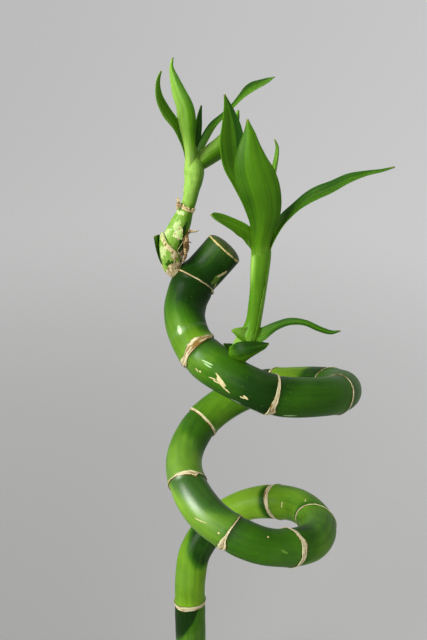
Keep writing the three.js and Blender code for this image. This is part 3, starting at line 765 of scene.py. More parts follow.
def cane_skin(settings):
    recipe = Recipe("cane_skin")
    straight = recipe.attribute("straight", "Vector")
    tone, below, above = [recipe.attribute(name) for name in ("tone", "below_scar", "above_scar")]
    along = recipe.part(straight, 2)
    streaks = recipe.long_noise(straight, (0.55, 0.55, 0.025), 3.0)
    blotches = recipe.noise(straight, 0.11, 3.0)
    fibres = recipe.long_noise(straight, (2.6, 2.6, 0.12))
    grain = recipe.noise(straight, 2.4, 2.0)
    tone = tone + 0.2 * (streaks - 0.5) + 0.26 * (blotches - 0.5) + 0.08 * (fibres - 0.5)
    deep, middle, pale = settings.deep, settings.middle, settings.pale
    green = recipe.ramp(tone, [
        (0.0, toned(deep, 0.55)), (0.22, deep), (0.5, middle), (0.82, pale), (1.0, toned(pale, 1.2, 0.02))])
    bloom = recipe.smooth(recipe.noise(straight, 0.07, 1.0), 0.5, 0.75)
    green = recipe.mix(0.1 * bloom, green, paint(110, 140, 80))
    dots = recipe.smooth(recipe.specks(recipe.stretched(straight, (0.5, 0.5, 0.4)), 1.0), 0.16, 0.08)
    green = recipe.mix(0.12 * dots, green, pale)
    # Thin dark line beside each scar band: partly its brown outline, partly painted shadow under the band's
    # lip.
    rim = 1 - recipe.smooth((above * 1.5).least(below) + 0.5 * (grain - 0.5), 0.1, 0.55)
    green = recipe.mix(0.6 * rim, green, paint(62, 60, 22))
    wobble = 1.3 * (recipe.noise(straight, 1.1, 3.0) - 0.5)
    tan = recipe.mix(recipe.noise(straight, 1.7, 2.0), paint(150, 126, 70), paint(236, 226, 176))
    grazes_and_glint, marks, peeled = [
        scratches(recipe, straight, wobble, table) for table in (GRAZES_AND_GLINT, SCRATCHES, PEELS)]
    green = recipe.mix(0.7 * peeled, green, paint(96, 130, 48))
    # Pale grazes, and the painted glint on the bend.
    green = recipe.mix(0.75 * grazes_and_glint, green, paint(172, 204, 146))
    green = recipe.mix(0.92 * marks, green, tan)
    wound = recipe.smooth(along, 0.1, -0.25)
    seal = recipe.mix(recipe.noise(straight, 0.35, 3.0), paint(28, 44, 14), paint(84, 102, 44))
    green = recipe.mix(wound, green, seal)
    cut = 1 - recipe.smooth((along + 0.1).size() + 0.9 * (recipe.noise(straight, 0.5, 3.0) - 0.5), 0.12, 0.38)
    green = recipe.mix(0.9 * cut, green, paint(196, 176, 118))
    rough = settings.gloss + 0.16 * (blotches - 0.5) + 0.35 * marks + 0.3 * rim
    glint, sheen, lower = [
        most * recipe.smooth((along - centre).size(), end, full) for most, centre, end, full in POLISHED]
    facing = recipe.smooth(towards(recipe, straight, POLISHED_SIDE), 4.8, 7.2)
    polish = glint.most(sheen).most(lower * (0.4 + 0.6 * facing))
    polish = (polish + 0.01) * (1 - marks) * (0.8 + 0.4 * blotches)
    height = 0.5 * fibres + 0.35 * grain + 1.2 * marks + 0.8 * blotches
    return recipe.finish({
        "Base Color": green, "Roughness": rough, "Normal": recipe.bump(height, 0.35, 0.12 * MM),
        "Specular IOR Level": 0.05, "Coat Weight": polish, "Coat Roughness": 0.37,
        **flesh(0.06, 0.4, 0.2, 2 * MM),
    })


# ---------------------------------------------------------------- papery bands round the scars
def band_edges(number, angle):
    """How far the papery band reaches up and down the cane from its scar."""
    _, _, _, width, wider, side, torn, _ = SCARS[number]
    ring = cylinder(angle, 1, 0.37 * number)
    size = width + wider * (0.5 + 0.5 * np.cos(angle - math.radians(side))) ** 2
    up, down = 0.42 * size, 0.58 * size
    if number in TORN_BANDS:
        places, *reaches = zip(*TORN_BANDS[number])
        up, down = [np.interp(np.degrees(angle), places, reach, period=360) for reach in reaches]
    up = up * (1 + 0.8 * torn * ripple(ring, 2.2, number) + 0.5 * torn * ripple(ring, 9.0, number + 4.0))
    down = down * (1 + 0.7 * torn * ripple(ring, 2.6, number + 9.0) + 0.5 * torn * ripple(ring, 12.0, number))
    for scar, place, reach, half in TAGS:
        if scar == number:
            off = np.abs((np.degrees(angle) - place + 180) % 360 - 180)
            down = down + reach * np.clip(1 - off / half, 0, 1) ** 0.8
    return np.maximum(up, 0.15), np.maximum(down, 0.2)


class BAMBOO_OT_scars(Operator):
    """Make the dry papery band round each leaf scar"""

    bl_idname = "bamboo.scars"
    bl_label = "Leaf scars"

    def execute(self, context):
        settings = context.scene.bamboo_cane
        material = paper_skin("band_paper", settings.paper, settings.bark)
        path = cane_path()
        for number, (centre, *_, torn, dry) in enumerate(SCARS):
            mesh, angle, share = sleeve(f"leaf_scar_{number + 1}")
            up, down = band_edges(number, angle)
            distance = centre - up + (up + down) * share
            skin = cylinder(angle, BAND_RADIUS, distance)
            lay = cylinder(angle, BAND_RADIUS, 9 * number + 3 * share + 0.3 * distance)
            lift = 0.1 + 0.1 * np.abs(2 * share - 1) ** 3 + 0.05 * ripple(skin, 1.1, number)
            lift = lift + 0.12 * torn * np.clip(ripple(skin, 0.35, number + 2.0), 0, 1) * share
            move_corners(mesh, on_cane(path, distance, angle, cane_radius(distance) + lift))
            core = smoothstep(up, 0.8, 1.6) * (1 - (2 * share - 1) ** 2)
            # Browner in the core and at both edges; the dark edges are partly a brown outline and partly
            # painted shadow at the band's borders.
            brown = dry - 0.25 + 0.3 * share + 0.4 * np.abs(2 * share - 1) ** 5 + 0.8 * core
            add_paper(mesh, lay, brown, material, 0.16 * MM)
        return {"FINISHED"}


def paper_skin(name, pale, dark):
    recipe = Recipe(name)
    straight = recipe.attribute("straight", "Vector")
    brown = recipe.attribute("brown")
    fibres = recipe.long_noise(straight, (0.22, 0.22, 1.5), 4.0, 0.6)
    patches = recipe.noise(straight, 0.45, 3.0)
    share = 0.5 + 5.5 * (fibres - 0.5) + 1.2 * (patches - 0.5) + 0.7 * (brown - 0.5)
    colour = recipe.ramp(share, [
        (0.1, toned(pale, 1.15)), (0.45, pale),
        (0.7, [0.55 * p + 0.45 * d for p, d in zip(pale, dark)]), (1.0, dark)])
    return recipe.finish({
        "Base Color": colour, "Roughness": 0.62 + 0.2 * (patches - 0.5),
        "Normal": recipe.bump(fibres + 0.6 * patches, 0.6, 0.12 * MM), "Specular IOR Level": 0.2,
    })


# ---------------------------------------------------------------- stalks
FRONT = np.array([0.0, -1.0, 0.0])
STALK_SIDES, STALK_STEP = 40, 0.8


def stalk_frame(path, distance):
    """Place, the ways to the front and to the side, and radius of a stalk at each distance."""
    place, forward, value = path.at(distance)
    front = unit(FRONT - forward * (forward @ FRONT)[:, None])
    return place, front, np.cross(forward, front), value[:, 0] / 2


def stalk_mesh(name, rows, tone):
    """A round stalk along its centre line. tone(share, angle) says how pale it is; angle 0 is the front."""
    path = Path(rows)
    mesh, angle, share = sleeve(name, STALK_SIDES, max(8, round(path.length / STALK_STEP)), closed=True)
    place, front, side, radius = stalk_frame(path, share * path.length)
    straight = cylinder(angle, radius, share * path.length)
    radius = radius * (1 + 0.03 * np.cos(3 * angle + 4 * share) + 0.03 * ripple(straight, 0.25, 1.7))
    move_corners(mesh, around(place, front, side, radius, angle))
    add_value(mesh, "straight", straight)
    add_value(mesh, "tone", tone(share, angle))
    outward(mesh)
    return mesh


def stalk_skin(settings):
    recipe = Recipe("stalk_skin")
    straight = recipe.attribute("straight", "Vector")
    tone = recipe.attribute("tone")
    streaks = recipe.long_noise(straight, (1.1, 1.1, 0.04), 3.0)
    fibres = recipe.long_noise(straight, (3.4, 3.4, 0.12))
    cells = recipe.noise(straight, 2.2, 2.0)
    tone = tone + 0.26 * (streaks - 0.5) + 0.12 * (fibres - 0.5)
    return recipe.finish({
        "Base Color": stalk_green(recipe, tone, settings), "Roughness": 0.45 + 0.16 * (cells - 0.5),
        "Normal": recipe.bump(0.7 * fibres + 0.3 * cells, 0.3, 0.1 * MM),
        "Specular IOR Level": 0.12, **flesh(0.12, 0.5, 0.2, 3 * MM),
    })


class BAMBOO_OT_stalks(Operator):
    """Make the stalks of both shoots"""

    bl_idname = "bamboo.stalks"
    bl_label = "Stalks"

    def execute(self, context):
        settings = context.scene.bamboo_shoots
        material = stalk_skin(settings)

        # Each stalk is darker towards its right: partly its own colour, partly painted shade away from the
        # light.
        def left(share, angle):
            return 0.48 - 0.2 * smoothstep(np.sin(angle), 0.0, 0.9) + 0.1 * smoothstep(share, 0.5, 0.62)

        def branch(share, angle):
            return 0.52 - 0.28 * smoothstep(np.sin(angle), -0.6, 0.5) - 0.1 * share

        def right(share, angle):
            # On the right stalk the pale strip on the left edge is a painted highlight; the one on the right
            # is the sheath's paler edge.
            edge = 0.36 * np.exp(-((angle + 1.05) / 0.42) ** 2) + 0.3 * np.exp(-((angle - 1.3) / 0.3) ** 2)
            return 0.29 + 0.3 * smoothstep(share, 0.3, 0.05) + edge * smoothstep(share, 0.42, 0.7)

        for name, rows, tone, skin, nodes in (
                ("left_shoot_stalk", LEFT_STALK, left, shoot_foot_skin(settings), ["left_shoot_stalk"]),
                ("left_shoot_bud", LEFT_BRANCH, branch, material, []),
                ("right_shoot_stalk", RIGHT_STALK, right, material, ["right_shoot_stalk"])):
            add_piece(name, stalk_mesh(name, rows, tone), skin, nodes)
        sheath = wrap_mesh("right_sheath", Path(RIGHT_STALK), *RIGHT_SHEATH)
        add_shell(add_piece("right_sheath", sheath, material), 0.15 * MM)
        return {"FINISHED"}


# ---------------------------------------------------------------- leaves and bracts
BLADE_COLUMNS = 16
# A blade thins from its rib to its margin in this many steps.
THINNING_STEPS = 5


def blade_mesh(name, spine, face, cup, tones, root, step=0.8, crease=0.22, torn=0.0, seed=0.0):
    """A bent and hollowed blade on its spine, with a rib down its middle."""
    path = Path(spine)
    rows = max(8, round(path.length / step))
    bm = bmesh.new()
    bm.loops.layers.uv.new("blade")
    bmesh.ops.create_grid(bm, x_segments=BLADE_COLUMNS, y_segments=rows, size=1, calc_uvs=True)
    mesh = to_mesh(bm, name)
    flat = corners(mesh)
    side_share, share = flat[:, 0], 0.5 + 0.5 * flat[:, 1]
    if torn:
        fray = columns(side_share, seed, 0)
        share = share * (1 - torn * (0.18 + 0.3 * ripple(fray, 2.4, seed)))
    place, forward, value = path.at(share * path.length)
    width = np.maximum(value[:, 0], 0.12)
    if torn:
        edge = columns(np.sign(side_share) * 3, share * path.length * 0.9, seed)
        width = width * (1 + torn * 0.45 * ripple(edge, 1.0, seed) * np.abs(side_share))
    looks = np.array(face[0]) + (np.array(face[1]) - np.array(face[0])) * share[:, None]
    side = unit(np.cross(forward, looks))
    up = np.cross(side, forward)
    reach = width / 2
    rise = 2 * cup * reach * (side_share ** 2 - 0.5)
    rise = rise - crease * np.minimum(reach, 3) / 3 * np.exp(-(side_share / 0.16) ** 2)
    margin = columns(np.sign(side_share), share * path.length * 0.16, 2.0 + seed)
    rise = rise + (0.1 + 0.5 * torn) * reach * ripple(margin, 1.0, len(name)) * side_share ** 2
    move_corners(mesh, place + side * (reach * side_share)[:, None] + up * rise[:, None])
    low, rib, high = tones
    tone = rib + (np.where(side_share > 0, high, low) - rib) * smoothstep(np.abs(side_share), 0.1, 0.75)
    tone = tone + (root - tone) * (1 - smoothstep(share, 0.0, 0.35))
    add_value(mesh, "tone", tone)
    add_value(mesh, "straight", columns(side_share * reach, 0, share * path.length))
    add_value(mesh, "margin", np.abs(side_share))
    add_value(mesh, "tip", share)
    return mesh


def add_blade(name, blade, material, slot, thickness, replaces=(), **more):
    mesh = blade_mesh(name, **blade, **more)
    piece = add_piece(name, mesh, material, replaces)
    margin = np.array([value.value for value in mesh.attributes["margin"].data])
    group = piece.vertex_groups.new(name="body")
    for step in range(THINNING_STEPS):
        low, high = step / THINNING_STEPS, (step + 1) / THINNING_STEPS
        chosen = np.nonzero((margin > low - 1e-6) & (margin <= high + 1e-6))[0]
        weight = 1 - 0.17 * (step + 1) * (step + 1) / THINNING_STEPS
        group.add([int(index) for index in chosen], weight, "REPLACE")
    shell = add_shell(piece, thickness)
    shell.vertex_group, shell.thickness_vertex_group = "body", 0.2
    return piece


def leaf_skin(name, settings, wax=0.5):
    recipe = Recipe(name)
    tone, margin, tip = [recipe.attribute(part) for part in ("tone", "margin", "tip")]
    blade = recipe.node("ShaderNodeUVMap", {"uv_map": "blade"})
    across = recipe.part(blade, 0)
    veins = 0.5 + 0.5 * (across * 150.0).wave()
    stripes = recipe.long_noise(blade, (8, 0.7, 1), 1.0)
    strands = recipe.long_noise(blade, (22, 1.2, 1), 3.0)
    fine = recipe.long_noise(blade, (70, 2.0, 1))
    patches = recipe.noise(recipe.place(), 160.0, 3.0)
    tone = tone + 0.3 * (stripes - 0.5) + 0.16 * (strands - 0.5)
    tone = tone + 0.06 * (fine - 0.5) + 0.12 * (patches - 0.5)
    pale = list(settings.pale)
    green = recipe.ramp(tone, [
        (0.0, toned(settings.deep, 0.6)), (0.2, settings.deep), (0.5, settings.middle),
        (0.8, [0.6 * p + 0.4 * m for p, m in zip(pale, settings.middle)]), (1.0, pale)])
    edge = recipe.smooth(margin, 0.93, 1.0)
    green = recipe.mix(0.2 * edge, green, settings.middle)
    dry = recipe.smooth(tip + 0.03 * (patches - 0.5), 0.97, 1.0)
    green = recipe.mix(0.6 * dry, green, paint(120, 112, 60))
    return recipe.finish({
        "Base Color": green, "Roughness": wax + 0.2 * (patches - 0.5) + 0.2 * dry,
        "Normal": recipe.bump(0.3 * veins + 0.5 * fine + 0.5 * strands, 0.12, 0.08 * MM),
        "Specular IOR Level": 0.07, **flesh(0.15, 0.5, 0.15, 2 * MM),
    })


class BAMBOO_OT_leaves(Operator):
    """Make the leaves of both shoots"""

    bl_idname = "bamboo.leaves"
    bl_label = "Leaves"

    def execute(self, context):
        settings = context.scene.bamboo_shoots
        material = leaf_skin("leaf_skin", settings)
        for name, blade in LEAVES.items():
            add_blade(name, blade, material, "leaf_green", settings.leaf_thickness, [name])
        return {"FINISHED"}


class BAMBOO_OT_bracts(Operator):
    """Make the small bracts at the foot of each shoot"""

    bl_idname = "bamboo.bracts"
    bl_label = "Bracts"

    def execute(self, context):
        settings = context.scene.bamboo_shoots
        material = leaf_skin("bract_skin", settings, 0.56)
        for name, blade in BRACTS.items():
            slot = "papery_scale" if "scale" in name else "bract_green"
            add_blade(name, blade, material, slot, settings.leaf_thickness, [name], step=0.5)
        return {"FINISHED"}


# ---------------------------------------------------------------- scales of the left shoot
# Scales that hug the left stalk: from and to along it, side in degrees, half their spread, how far the tip
# stands off, how torn, how pale, how dry, how narrow the top, seed.
WRAPS = [
    (1.0, 14.3, -65, 115, 0.7, 0.3, 0.5, 0.1, 0.05, 1.0),
    (0.3, 5.6, 25, 80, 0.3, 0.8, 0.4, 0.8, 0.3, 2.0),
    (4.0, 17.6, 62, 46, 0.35, 0.45, 0.12, 0.3, 0.4, 3.3),
    (14.6, 18.4, 10, 26, 0.25, 0.9, 0.9, 0.35, 0.3, 4.1),
    (1.5, 11.5, 96, 34, 0.8, 0.9, 0.1, 1.0, 0.6, 5.2),
]
# The sheath round the right stalk, in the same order.
RIGHT_SHEATH = (9, 42, 74, 50, 0.05, 0, 0.36, 0, 0.25, 0)
WRAP_CELLS = 40
# Marks on the left stalk and its scales: height along the stalk, side in degrees, half length, half width
# and turn.
PALE_MARKS = [(18.4, -16, 2.6, 1.2, 12), (16.2, 2, 1.6, 1.3, 30), (14.4, -54, 1.8, 1.5, 0),
              (9.4, -42, 2.3, 1.5, 0), (23.4, -40, 0.9, 2.0, 0)]
DRY_MARKS = [(11.0, -6, 0.9, 4.4, 33), (8.4, 22, 1.8, 1.4, 0), (2.8, -20, 0.9, 3.4, 0),
             (5.0, -66, 2.8, 0.7, 0), (4.0, 42, 2.2, 2.2, 0), (9.0, 62, 3.4, 1.2, 0),
             (15.0, 8, 0.4, 1.2, 30)]
# Dark marks; the one at 13.0 is a painted shade line beside the stalk.
DARK_AND_SHADE_MARKS = [(5.6, 0, 1.3, 2.0, 0), (13.0, 46, 4.5, 1.1, 0), (6.0, -72, 3.6, 0.7, 0),
              (18.0, 34, 3.4, 0.8, 0)]
# Dry strips: spine with width, the way the hollow side looks, hollow, how brown it is.
STRIPS = [
    ([(1.0, -19.6, 359, 1.4), (2.0, -20.2, 361.5, 1.6), (1.7, -20.0, 364.5, 1.2), (1.2, -19.6, 367, 0.8),
      (1.9, -19.5, 368.6, 0.3)],
     ((-1, 0.6, 0), (-1, 0.4, 0.3)), 0.3, 1.1),
    ([(1.6, -18.8, 361, 1.2), (2.6, -19.2, 363.2, 1.4), (2.5, -19.4, 365.2, 1.1), (3.4, -19.4, 366.2, 0.8),
      (3.9, -19.2, 365.2, 0.3)],
     ((-1, 0.2, 0.3), (0.4, 0.2, 1)), 0.2, 1.3),
    ([(1.4, -18.9, 362.5, 2.0), (2.3, -19.4, 365.6, 2.6), (2.4, -19.2, 367.8, 1.8), (1.9, -18.8, 369.4, 0.6)],
     ((-1, 0.2, 0.3), (-1, 0.2, -0.3)), 0.45, 1.5),
    ([(1.6, -17.4, 368.4, 2.4), (3.0, -17.9, 369.5, 1.5), (4.2, -18.2, 369.5, 0.7),
      (5.4, -18.3, 369.6, 0.45), (6.7, -18.4, 370.1, 0.15)],
     ((0, 1, 0.3), (0, 1, 0.3)), 0.3, 1.0),
    ([(-0.9, -18.4, 377.4, 0.9), (-0.7, -18.8, 379.1, 1.3), (-0.5, -18.8, 380.6, 0.9),
      (-0.8, -18.6, 381.8, 0.3)],
     ((1, 0.9, 0), (1, 0.9, 0)), 0.4, 0.8),
]
# Ragged rings round the left stalk: height up its centre line, width, how far it stands off, how brown it is.
RINGS = [(0.5, 2.2, 0.2, 0.35), (24.6, 1.9, 0.3, 0.3)]


def round_stalk(path, distance, angle, stand):
    """Places on the skin of a stalk, stood off it by so much. Angle 0 is its front."""
    place, front, side, radius = stalk_frame(path, distance)
    return around(place, front, side, radius + stand, angle)


def wrap_mesh(name, path, low, high, side, spread, stand, torn, tone, dry, narrow, seed):
    """A scale that hugs the stalk, with a ragged margin that dries first."""
    bm = bmesh.new()
    bmesh.ops.create_grid(bm, x_segments=WRAP_CELLS, y_segments=WRAP_CELLS, size=1)
    mesh = to_mesh(bm, name)
    flat = corners(mesh)
    across, share = flat[:, 0], 0.5 + 0.5 * flat[:, 1]
    fray = columns(across * 1.3, share * 0.4, seed)
    ragged = 0.16 * ripple(fray, 1.6, seed) + 0.1 * ripple(fray, 5.0, seed)
    top = 1 - 0.45 * np.abs(across) ** 2 + torn * ragged
    distance = low + (high - low) * share * np.clip(top, 0.1, 1.15)
    rim = columns(np.sign(across) * 2, share * 2.6, seed)
    reach = spread * (1 - narrow * share ** 2.4) * (1 + torn * 0.22 * ripple(rim, 1.4, seed) * np.abs(across))
    angle = np.radians(side + reach * across)
    folds = columns(angle * 2.2, distance * 0.25, seed)
    margin = np.maximum(np.abs(across), share)
    lift = 0.14 + stand * share ** 3 * (1 - across ** 2) + 0.1 * (1 + ripple(folds, 1.0, seed)) * (0.3 + dry)
    lift = lift + 0.3 * torn * smoothstep(margin, 0.75, 1.0) * (0.4 + ripple(folds, 2.1, seed + 3))
    move_corners(mesh, round_stalk(path, distance, angle, lift))
    add_value(mesh, "straight", cylinder(angle, 3.9, distance))
    for name, values in (("tone", tone), ("margin", margin), ("dry", dry)):
        add_value(mesh, name, values)
    return mesh


def shoot_foot_skin(settings):
    """Skin of the left stalk and its scales: green, with pale see-through spots and dry, brown ones."""
    recipe = Recipe("shoot_foot_skin")
    straight = recipe.attribute("straight", "Vector")
    tone, margin, dry = [recipe.attribute(name) for name in ("tone", "margin", "dry")]
    patches = recipe.noise(straight, 0.6, 3.0)
    streaks = recipe.long_noise(straight, (1.1, 1.1, 0.08), 3.0)
    fibres = recipe.long_noise(straight, (2.4, 2.4, 0.35), 3.0)
    wobble = 4.5 * (recipe.noise(straight, 1.0, 4.0, 0.6) - 0.5)
    light, aged, shade = [
        scratches(recipe, straight, wobble, table, 0.6) for table in (PALE_MARKS, DRY_MARKS, DARK_AND_SHADE_MARKS)]
    # Darker at the dark marks, one of which is painted shade beside the stalk.
    tone = tone + 0.26 * (streaks - 0.5) + 0.14 * (fibres - 0.5) + 0.24 * (patches - 0.5) - 0.42 * shade
    clear = recipe.mix(patches, paint(170, 214, 110), paint(214, 206, 172))
    green = recipe.mix(0.7 * light, stalk_green(recipe, tone, settings), clear)
    dried = dry + 0.9 * (patches - 0.5) + 0.45 * recipe.smooth(margin, 0.7, 1.0)
    papery = aged.most(recipe.smooth(dried, 0.5, 0.8))
    paper = recipe.ramp(0.5 + 1.6 * (fibres - 0.5) + 1.2 * (patches - 0.5), [
        (0.2, settings.husk_dark), (0.42, settings.husk), (0.7, paint(228, 212, 172))])
    colour = recipe.mix(0.9 * papery, green, paper)
    brown = recipe.smooth(margin + 0.4 * (fibres - 0.5) + 0.3 * (patches - 0.5), 0.93, 1.05)
    colour = recipe.mix(0.6 * brown, colour, settings.husk_dark)
    return recipe.finish({
        "Base Color": colour, "Roughness": 0.45 + 0.2 * papery,
        "Normal": recipe.bump(0.6 * fibres + 0.6 * patches + 0.8 * papery, 0.5, 0.12 * MM),
        "Specular IOR Level": 0.12, **flesh(0.12, 0.5, 0.2, 3 * MM),
    })


class BAMBOO_OT_husk(Operator):
    """Make the scales, dry strips and ragged rings of the left shoot"""

    bl_idname = "bamboo.husk"
    bl_label = "Scales"

    def execute(self, context):
        settings = context.scene.bamboo_shoots
        paper = paper_skin("husk_paper", settings.husk, settings.husk_dark)
        skin = shoot_foot_skin(settings)
        path = Path(LEFT_STALK)
        for number, numbers in enumerate(WRAPS):
            mesh = wrap_mesh(f"left_scale_{number + 1}", path, *numbers)
            add_shell(add_piece(mesh.name, mesh, skin), 0.2 * MM)
        for number, (spine, face, cup, brown) in enumerate(STRIPS):
            name = f"dry_strip_{number + 1}"
            mesh = blade_mesh(
                name, spine, face, cup, (0, 0, 0), 0, step=0.25, crease=0, torn=0.5, seed=number * 1.7)
            add_value(mesh, "brown", brown)
            add_shell(add_piece(name, mesh, paper), 0.2 * MM)
        for number, (height, width, stand, brown) in enumerate(RINGS):
            mesh, angle, share = sleeve(f"dry_ring_{number + 1}")
            ring = cylinder(angle, 1, number)
            reach = width * (0.6 + 0.5 * ripple(ring, 2.0, number) + 0.35 * ripple(ring, 6.0, number + 3.0))
            distance = height + np.maximum(reach, 0.15) * share
            lift = 0.12 + stand * share ** 1.5 * (1 + 0.8 * ripple(ring, 3.0, number + 5.0))
            move_corners(mesh, round_stalk(path, distance, angle, lift))
            add_paper(mesh, cylinder(angle, 3, distance), brown, paper, 0.18 * MM)
        return {"FINISHED"}


# ---------------------------------------------------------------- vase, pebbles and water
VASE_FLOOR, BED_TOP, WATER_TOP = 8, 83, 89


def turned(name, profile, steps=96):
    """A shape turned about the vase's axis from its profile of radius and height, in millimetres."""
    bm = bmesh.new()
    points = [bm.verts.new((radius * MM, 0, height * MM)) for radius, height in profile]
    edges = [bm.edges.new(pair) for pair in zip(points, points[1:])]
    bmesh.ops.spin(bm, geom=[*points, *edges], cent=(0, 0, 0), axis=(0, 0, 1), angle=math.tau, steps=steps,
                   use_merge=True)
    bmesh.ops.remove_doubles(bm, verts=bm.verts, dist=0.01 * MM)
    bmesh.ops.recalc_face_normals(bm, faces=bm.faces)
    return to_mesh(bm, name)


def rounded(points, radius, steps=4):
    """A profile with each inner corner cut back to a small arc."""
    path = [points[0]]
    for before, corner, after in zip(points, points[1:], points[2:]):
        corner = np.array(corner, float)
        one, two = np.array(before) - corner, np.array(after) - corner
        cut = min(radius, np.linalg.norm(one) * 0.45, np.linalg.norm(two) * 0.45)
        start, end = corner + unit(one) * cut, corner + unit(two) * cut
        for k in range(steps + 1):
            t = k / steps
            path.append(tuple(start * (1 - t) ** 2 + corner * 2 * t * (1 - t) + end * t * t))
    return [*path, points[-1]]


class BAMBOO_OT_vase(Operator):
    """Make the glazed vase"""

    bl_idname = "bamboo.vase"
    bl_label = "Vase"

    def execute(self, context):
        settings = context.scene.bamboo_vase
        height, rim, base, wall = [
            getattr(settings, part) / MM for part in ("height", "rim_radius", "base_radius", "wall")]
        outline = rounded([
            (0, 1.2), (base - 6, 1.2), (base - 6.5, 0), (base - 2.6, 0), (base - 1.8, 3), (base, 6),
            (rim - 0.4, height - 6), (rim, height), (rim - wall, height), (rim - wall - 0.3, height - 8),
            (base - wall, VASE_FLOOR + 0.4), (0, VASE_FLOOR)], 2.2)
        add_piece("vase", turned("vase", outline), vase_skin(settings), ["vase"])
        return {"FINISHED"}


def vase_skin(settings):
    recipe = Recipe("vase_glaze_skin")
    place = recipe.place()
    height = recipe.part(place, 2)
    drift = recipe.noise(place, 40.0, 3.0)
    throwing = recipe.long_noise(place, (3, 3, 420))
    specks = recipe.smooth(recipe.specks(place, 420.0), 0.13, 0.06)
    specks = specks * recipe.smooth(recipe.noise(place, 90.0), 0.5, 0.62)
    glaze = recipe.mix(drift, settings.glaze, toned(settings.glaze, 0.9))
    glaze = recipe.mix(0.6 * specks, glaze, paint(150, 124, 92))
    bare = 1 - recipe.smooth(height + 0.0012 * (drift - 0.5), 0.0026, 0.0034)
    clay = recipe.mix(recipe.noise(place, 900.0, 3.0), settings.clay, toned(settings.clay, 0.8))
    return recipe.finish({
        "Base Color": recipe.mix(bare, glaze, clay), "Roughness": 0.16 + 0.12 * drift + 0.5 * bare,
        "Normal": recipe.bump(throwing + 0.4 * drift, 0.25, 0.25 * MM),
        "Coat Weight": 0.4 - 0.4 * bare, "Coat Roughness": 0.08,
    })


class BAMBOO_OT_pebbles(Operator):
    """Make the bed of pebbles"""

    bl_idname = "bamboo.pebbles"
    bl_label = "Pebbles"

    def execute(self, context):
        settings = context.scene.bamboo_vase
        inner = settings.rim_radius / MM - settings.wall / MM - 1.2
        golden = math.pi * (3 - math.sqrt(5))
        bm = bmesh.new()
        for index in range(settings.stones):
            reach = 8 + (inner - 11.5) * math.sqrt((index + 0.5) / settings.stones)
            size = 3.6 + 1.2 * math.sin(7.3 * index)
            made = bmesh.ops.create_icosphere(bm, subdivisions=3, radius=1)["verts"]
            for vertex in made:
                lump = noise.noise(vertex.co * 0.9 + Vector((index * 3.7, 0, 0)))
                vertex.co *= 1 + 0.16 * lump
            lean = Vector((0.4 * math.sin(3.1 * index), 0.4 * math.cos(2.3 * index), 1))
            turn = Vector((0, 0, 1)).rotation_difference(lean).to_matrix()
            height = BED_TOP - 0.5 + 1.6 * math.sin(5.7 * index)
            place = (reach * math.cos(golden * index), reach * math.sin(golden * index), height)
            bmesh.ops.scale(bm, verts=made, vec=(size * 1.2, size, size * 0.72))
            bmesh.ops.rotate(bm, verts=made, matrix=turn)
            bmesh.ops.translate(bm, verts=made, vec=place)
        bmesh.ops.scale(bm, verts=bm.verts, vec=(MM, MM, MM))
        mesh = to_mesh(bm, "pebbles")
        material = pebble_skin(settings)
        add_piece("pebbles", mesh, material, ["pebbles"])
        low = settings.base_radius / MM - settings.wall / MM - 0.4
        floor, top = VASE_FLOOR + 0.4, BED_TOP - 1.5
        bed = turned("pebble_bed", [(0, floor), (low, floor), (inner - 0.9, top), (0, top)], 64)
        add_piece("pebble_bed", bed, material)
        return {"FINISHED"}


def pebble_skin(settings):
    recipe = Recipe("pebble_skin")
    place = recipe.place()
    each = recipe.noise(place, 95.0, 0.0)
    grain = recipe.noise(place, 900.0, 3.0)
    veins = recipe.smooth((recipe.noise(place, 210.0, 2.0) - 0.5).size(), 0.03, 0.0)
    colour = recipe.ramp(each, [
        (0.3, toned(settings.stone, 0.62)), (0.45, settings.stone), (0.55, paint(200, 192, 176)),
        (0.7, paint(150, 132, 110))])
    colour = recipe.mix(0.2 * grain, colour, paint(90, 84, 76))
    colour = recipe.mix(0.15 * veins, colour, paint(220, 214, 200))
    return recipe.finish({
        "Base Color": colour, "Roughness": 0.35 + 0.3 * (grain - 0.5),
        "Normal": recipe.bump(grain, 0.3, 0.2 * MM)})


class BAMBOO_OT_water(Operator):
    """Make the water over the pebbles"""

    bl_idname = "bamboo.water"
    bl_label = "Water"

    def execute(self, context):
        settings = context.scene.bamboo_vase
        inner = settings.rim_radius / MM - settings.wall / MM - 0.6
        recipe = Recipe("water_skin")
        ripples = recipe.noise(recipe.place(), 60.0, 1.0)
        material = recipe.finish({
            "Base Color": (0.93, 0.98, 0.95, 1), "Roughness": 0.02, "IOR": 1.33, "Transmission Weight": 1.0,
            "Normal": recipe.bump(ripples, 0.1, 0.4 * MM)})
        low = BED_TOP + 0.2
        mesh = turned("water", [
            (0, low), (inner - 0.5, low), (inner - 0.2, WATER_TOP + 0.8), (inner - 1.2, WATER_TOP + 0.15),
            (inner - 2.6, WATER_TOP), (0, WATER_TOP)])
        add_piece("water", mesh, material, ["water"])
        return {"FINISHED"}


# ---------------------------------------------------------------- stage, in millimetres
# Radius of the flat floor, and of the curve that rises from it to the backdrop's upper edge.
FLOOR_RADIUS, CURVE_RADIUS = 900, 3000
BACKDROP_EDGE = (3900, 4200)
KEY_LIGHT_PLACE, WINDOW_PLACE, LIT_POINT = (-800, -650, 1150), (-1006, -602, 1063), (10, -15, 300)
# The point that the camera looks at, its distance from there, and how many degrees it looks down.
CAMERA_TARGET, CAMERA_REACH, CAMERA_DOWN = (11.6, -15, 335), 225, 22


def aim(thing, place, target):
    thing.location = [value * MM for value in place]
    direction = Vector(target) * MM - thing.location
    thing.rotation_euler = direction.to_track_quat("-Z", "Y").to_euler()


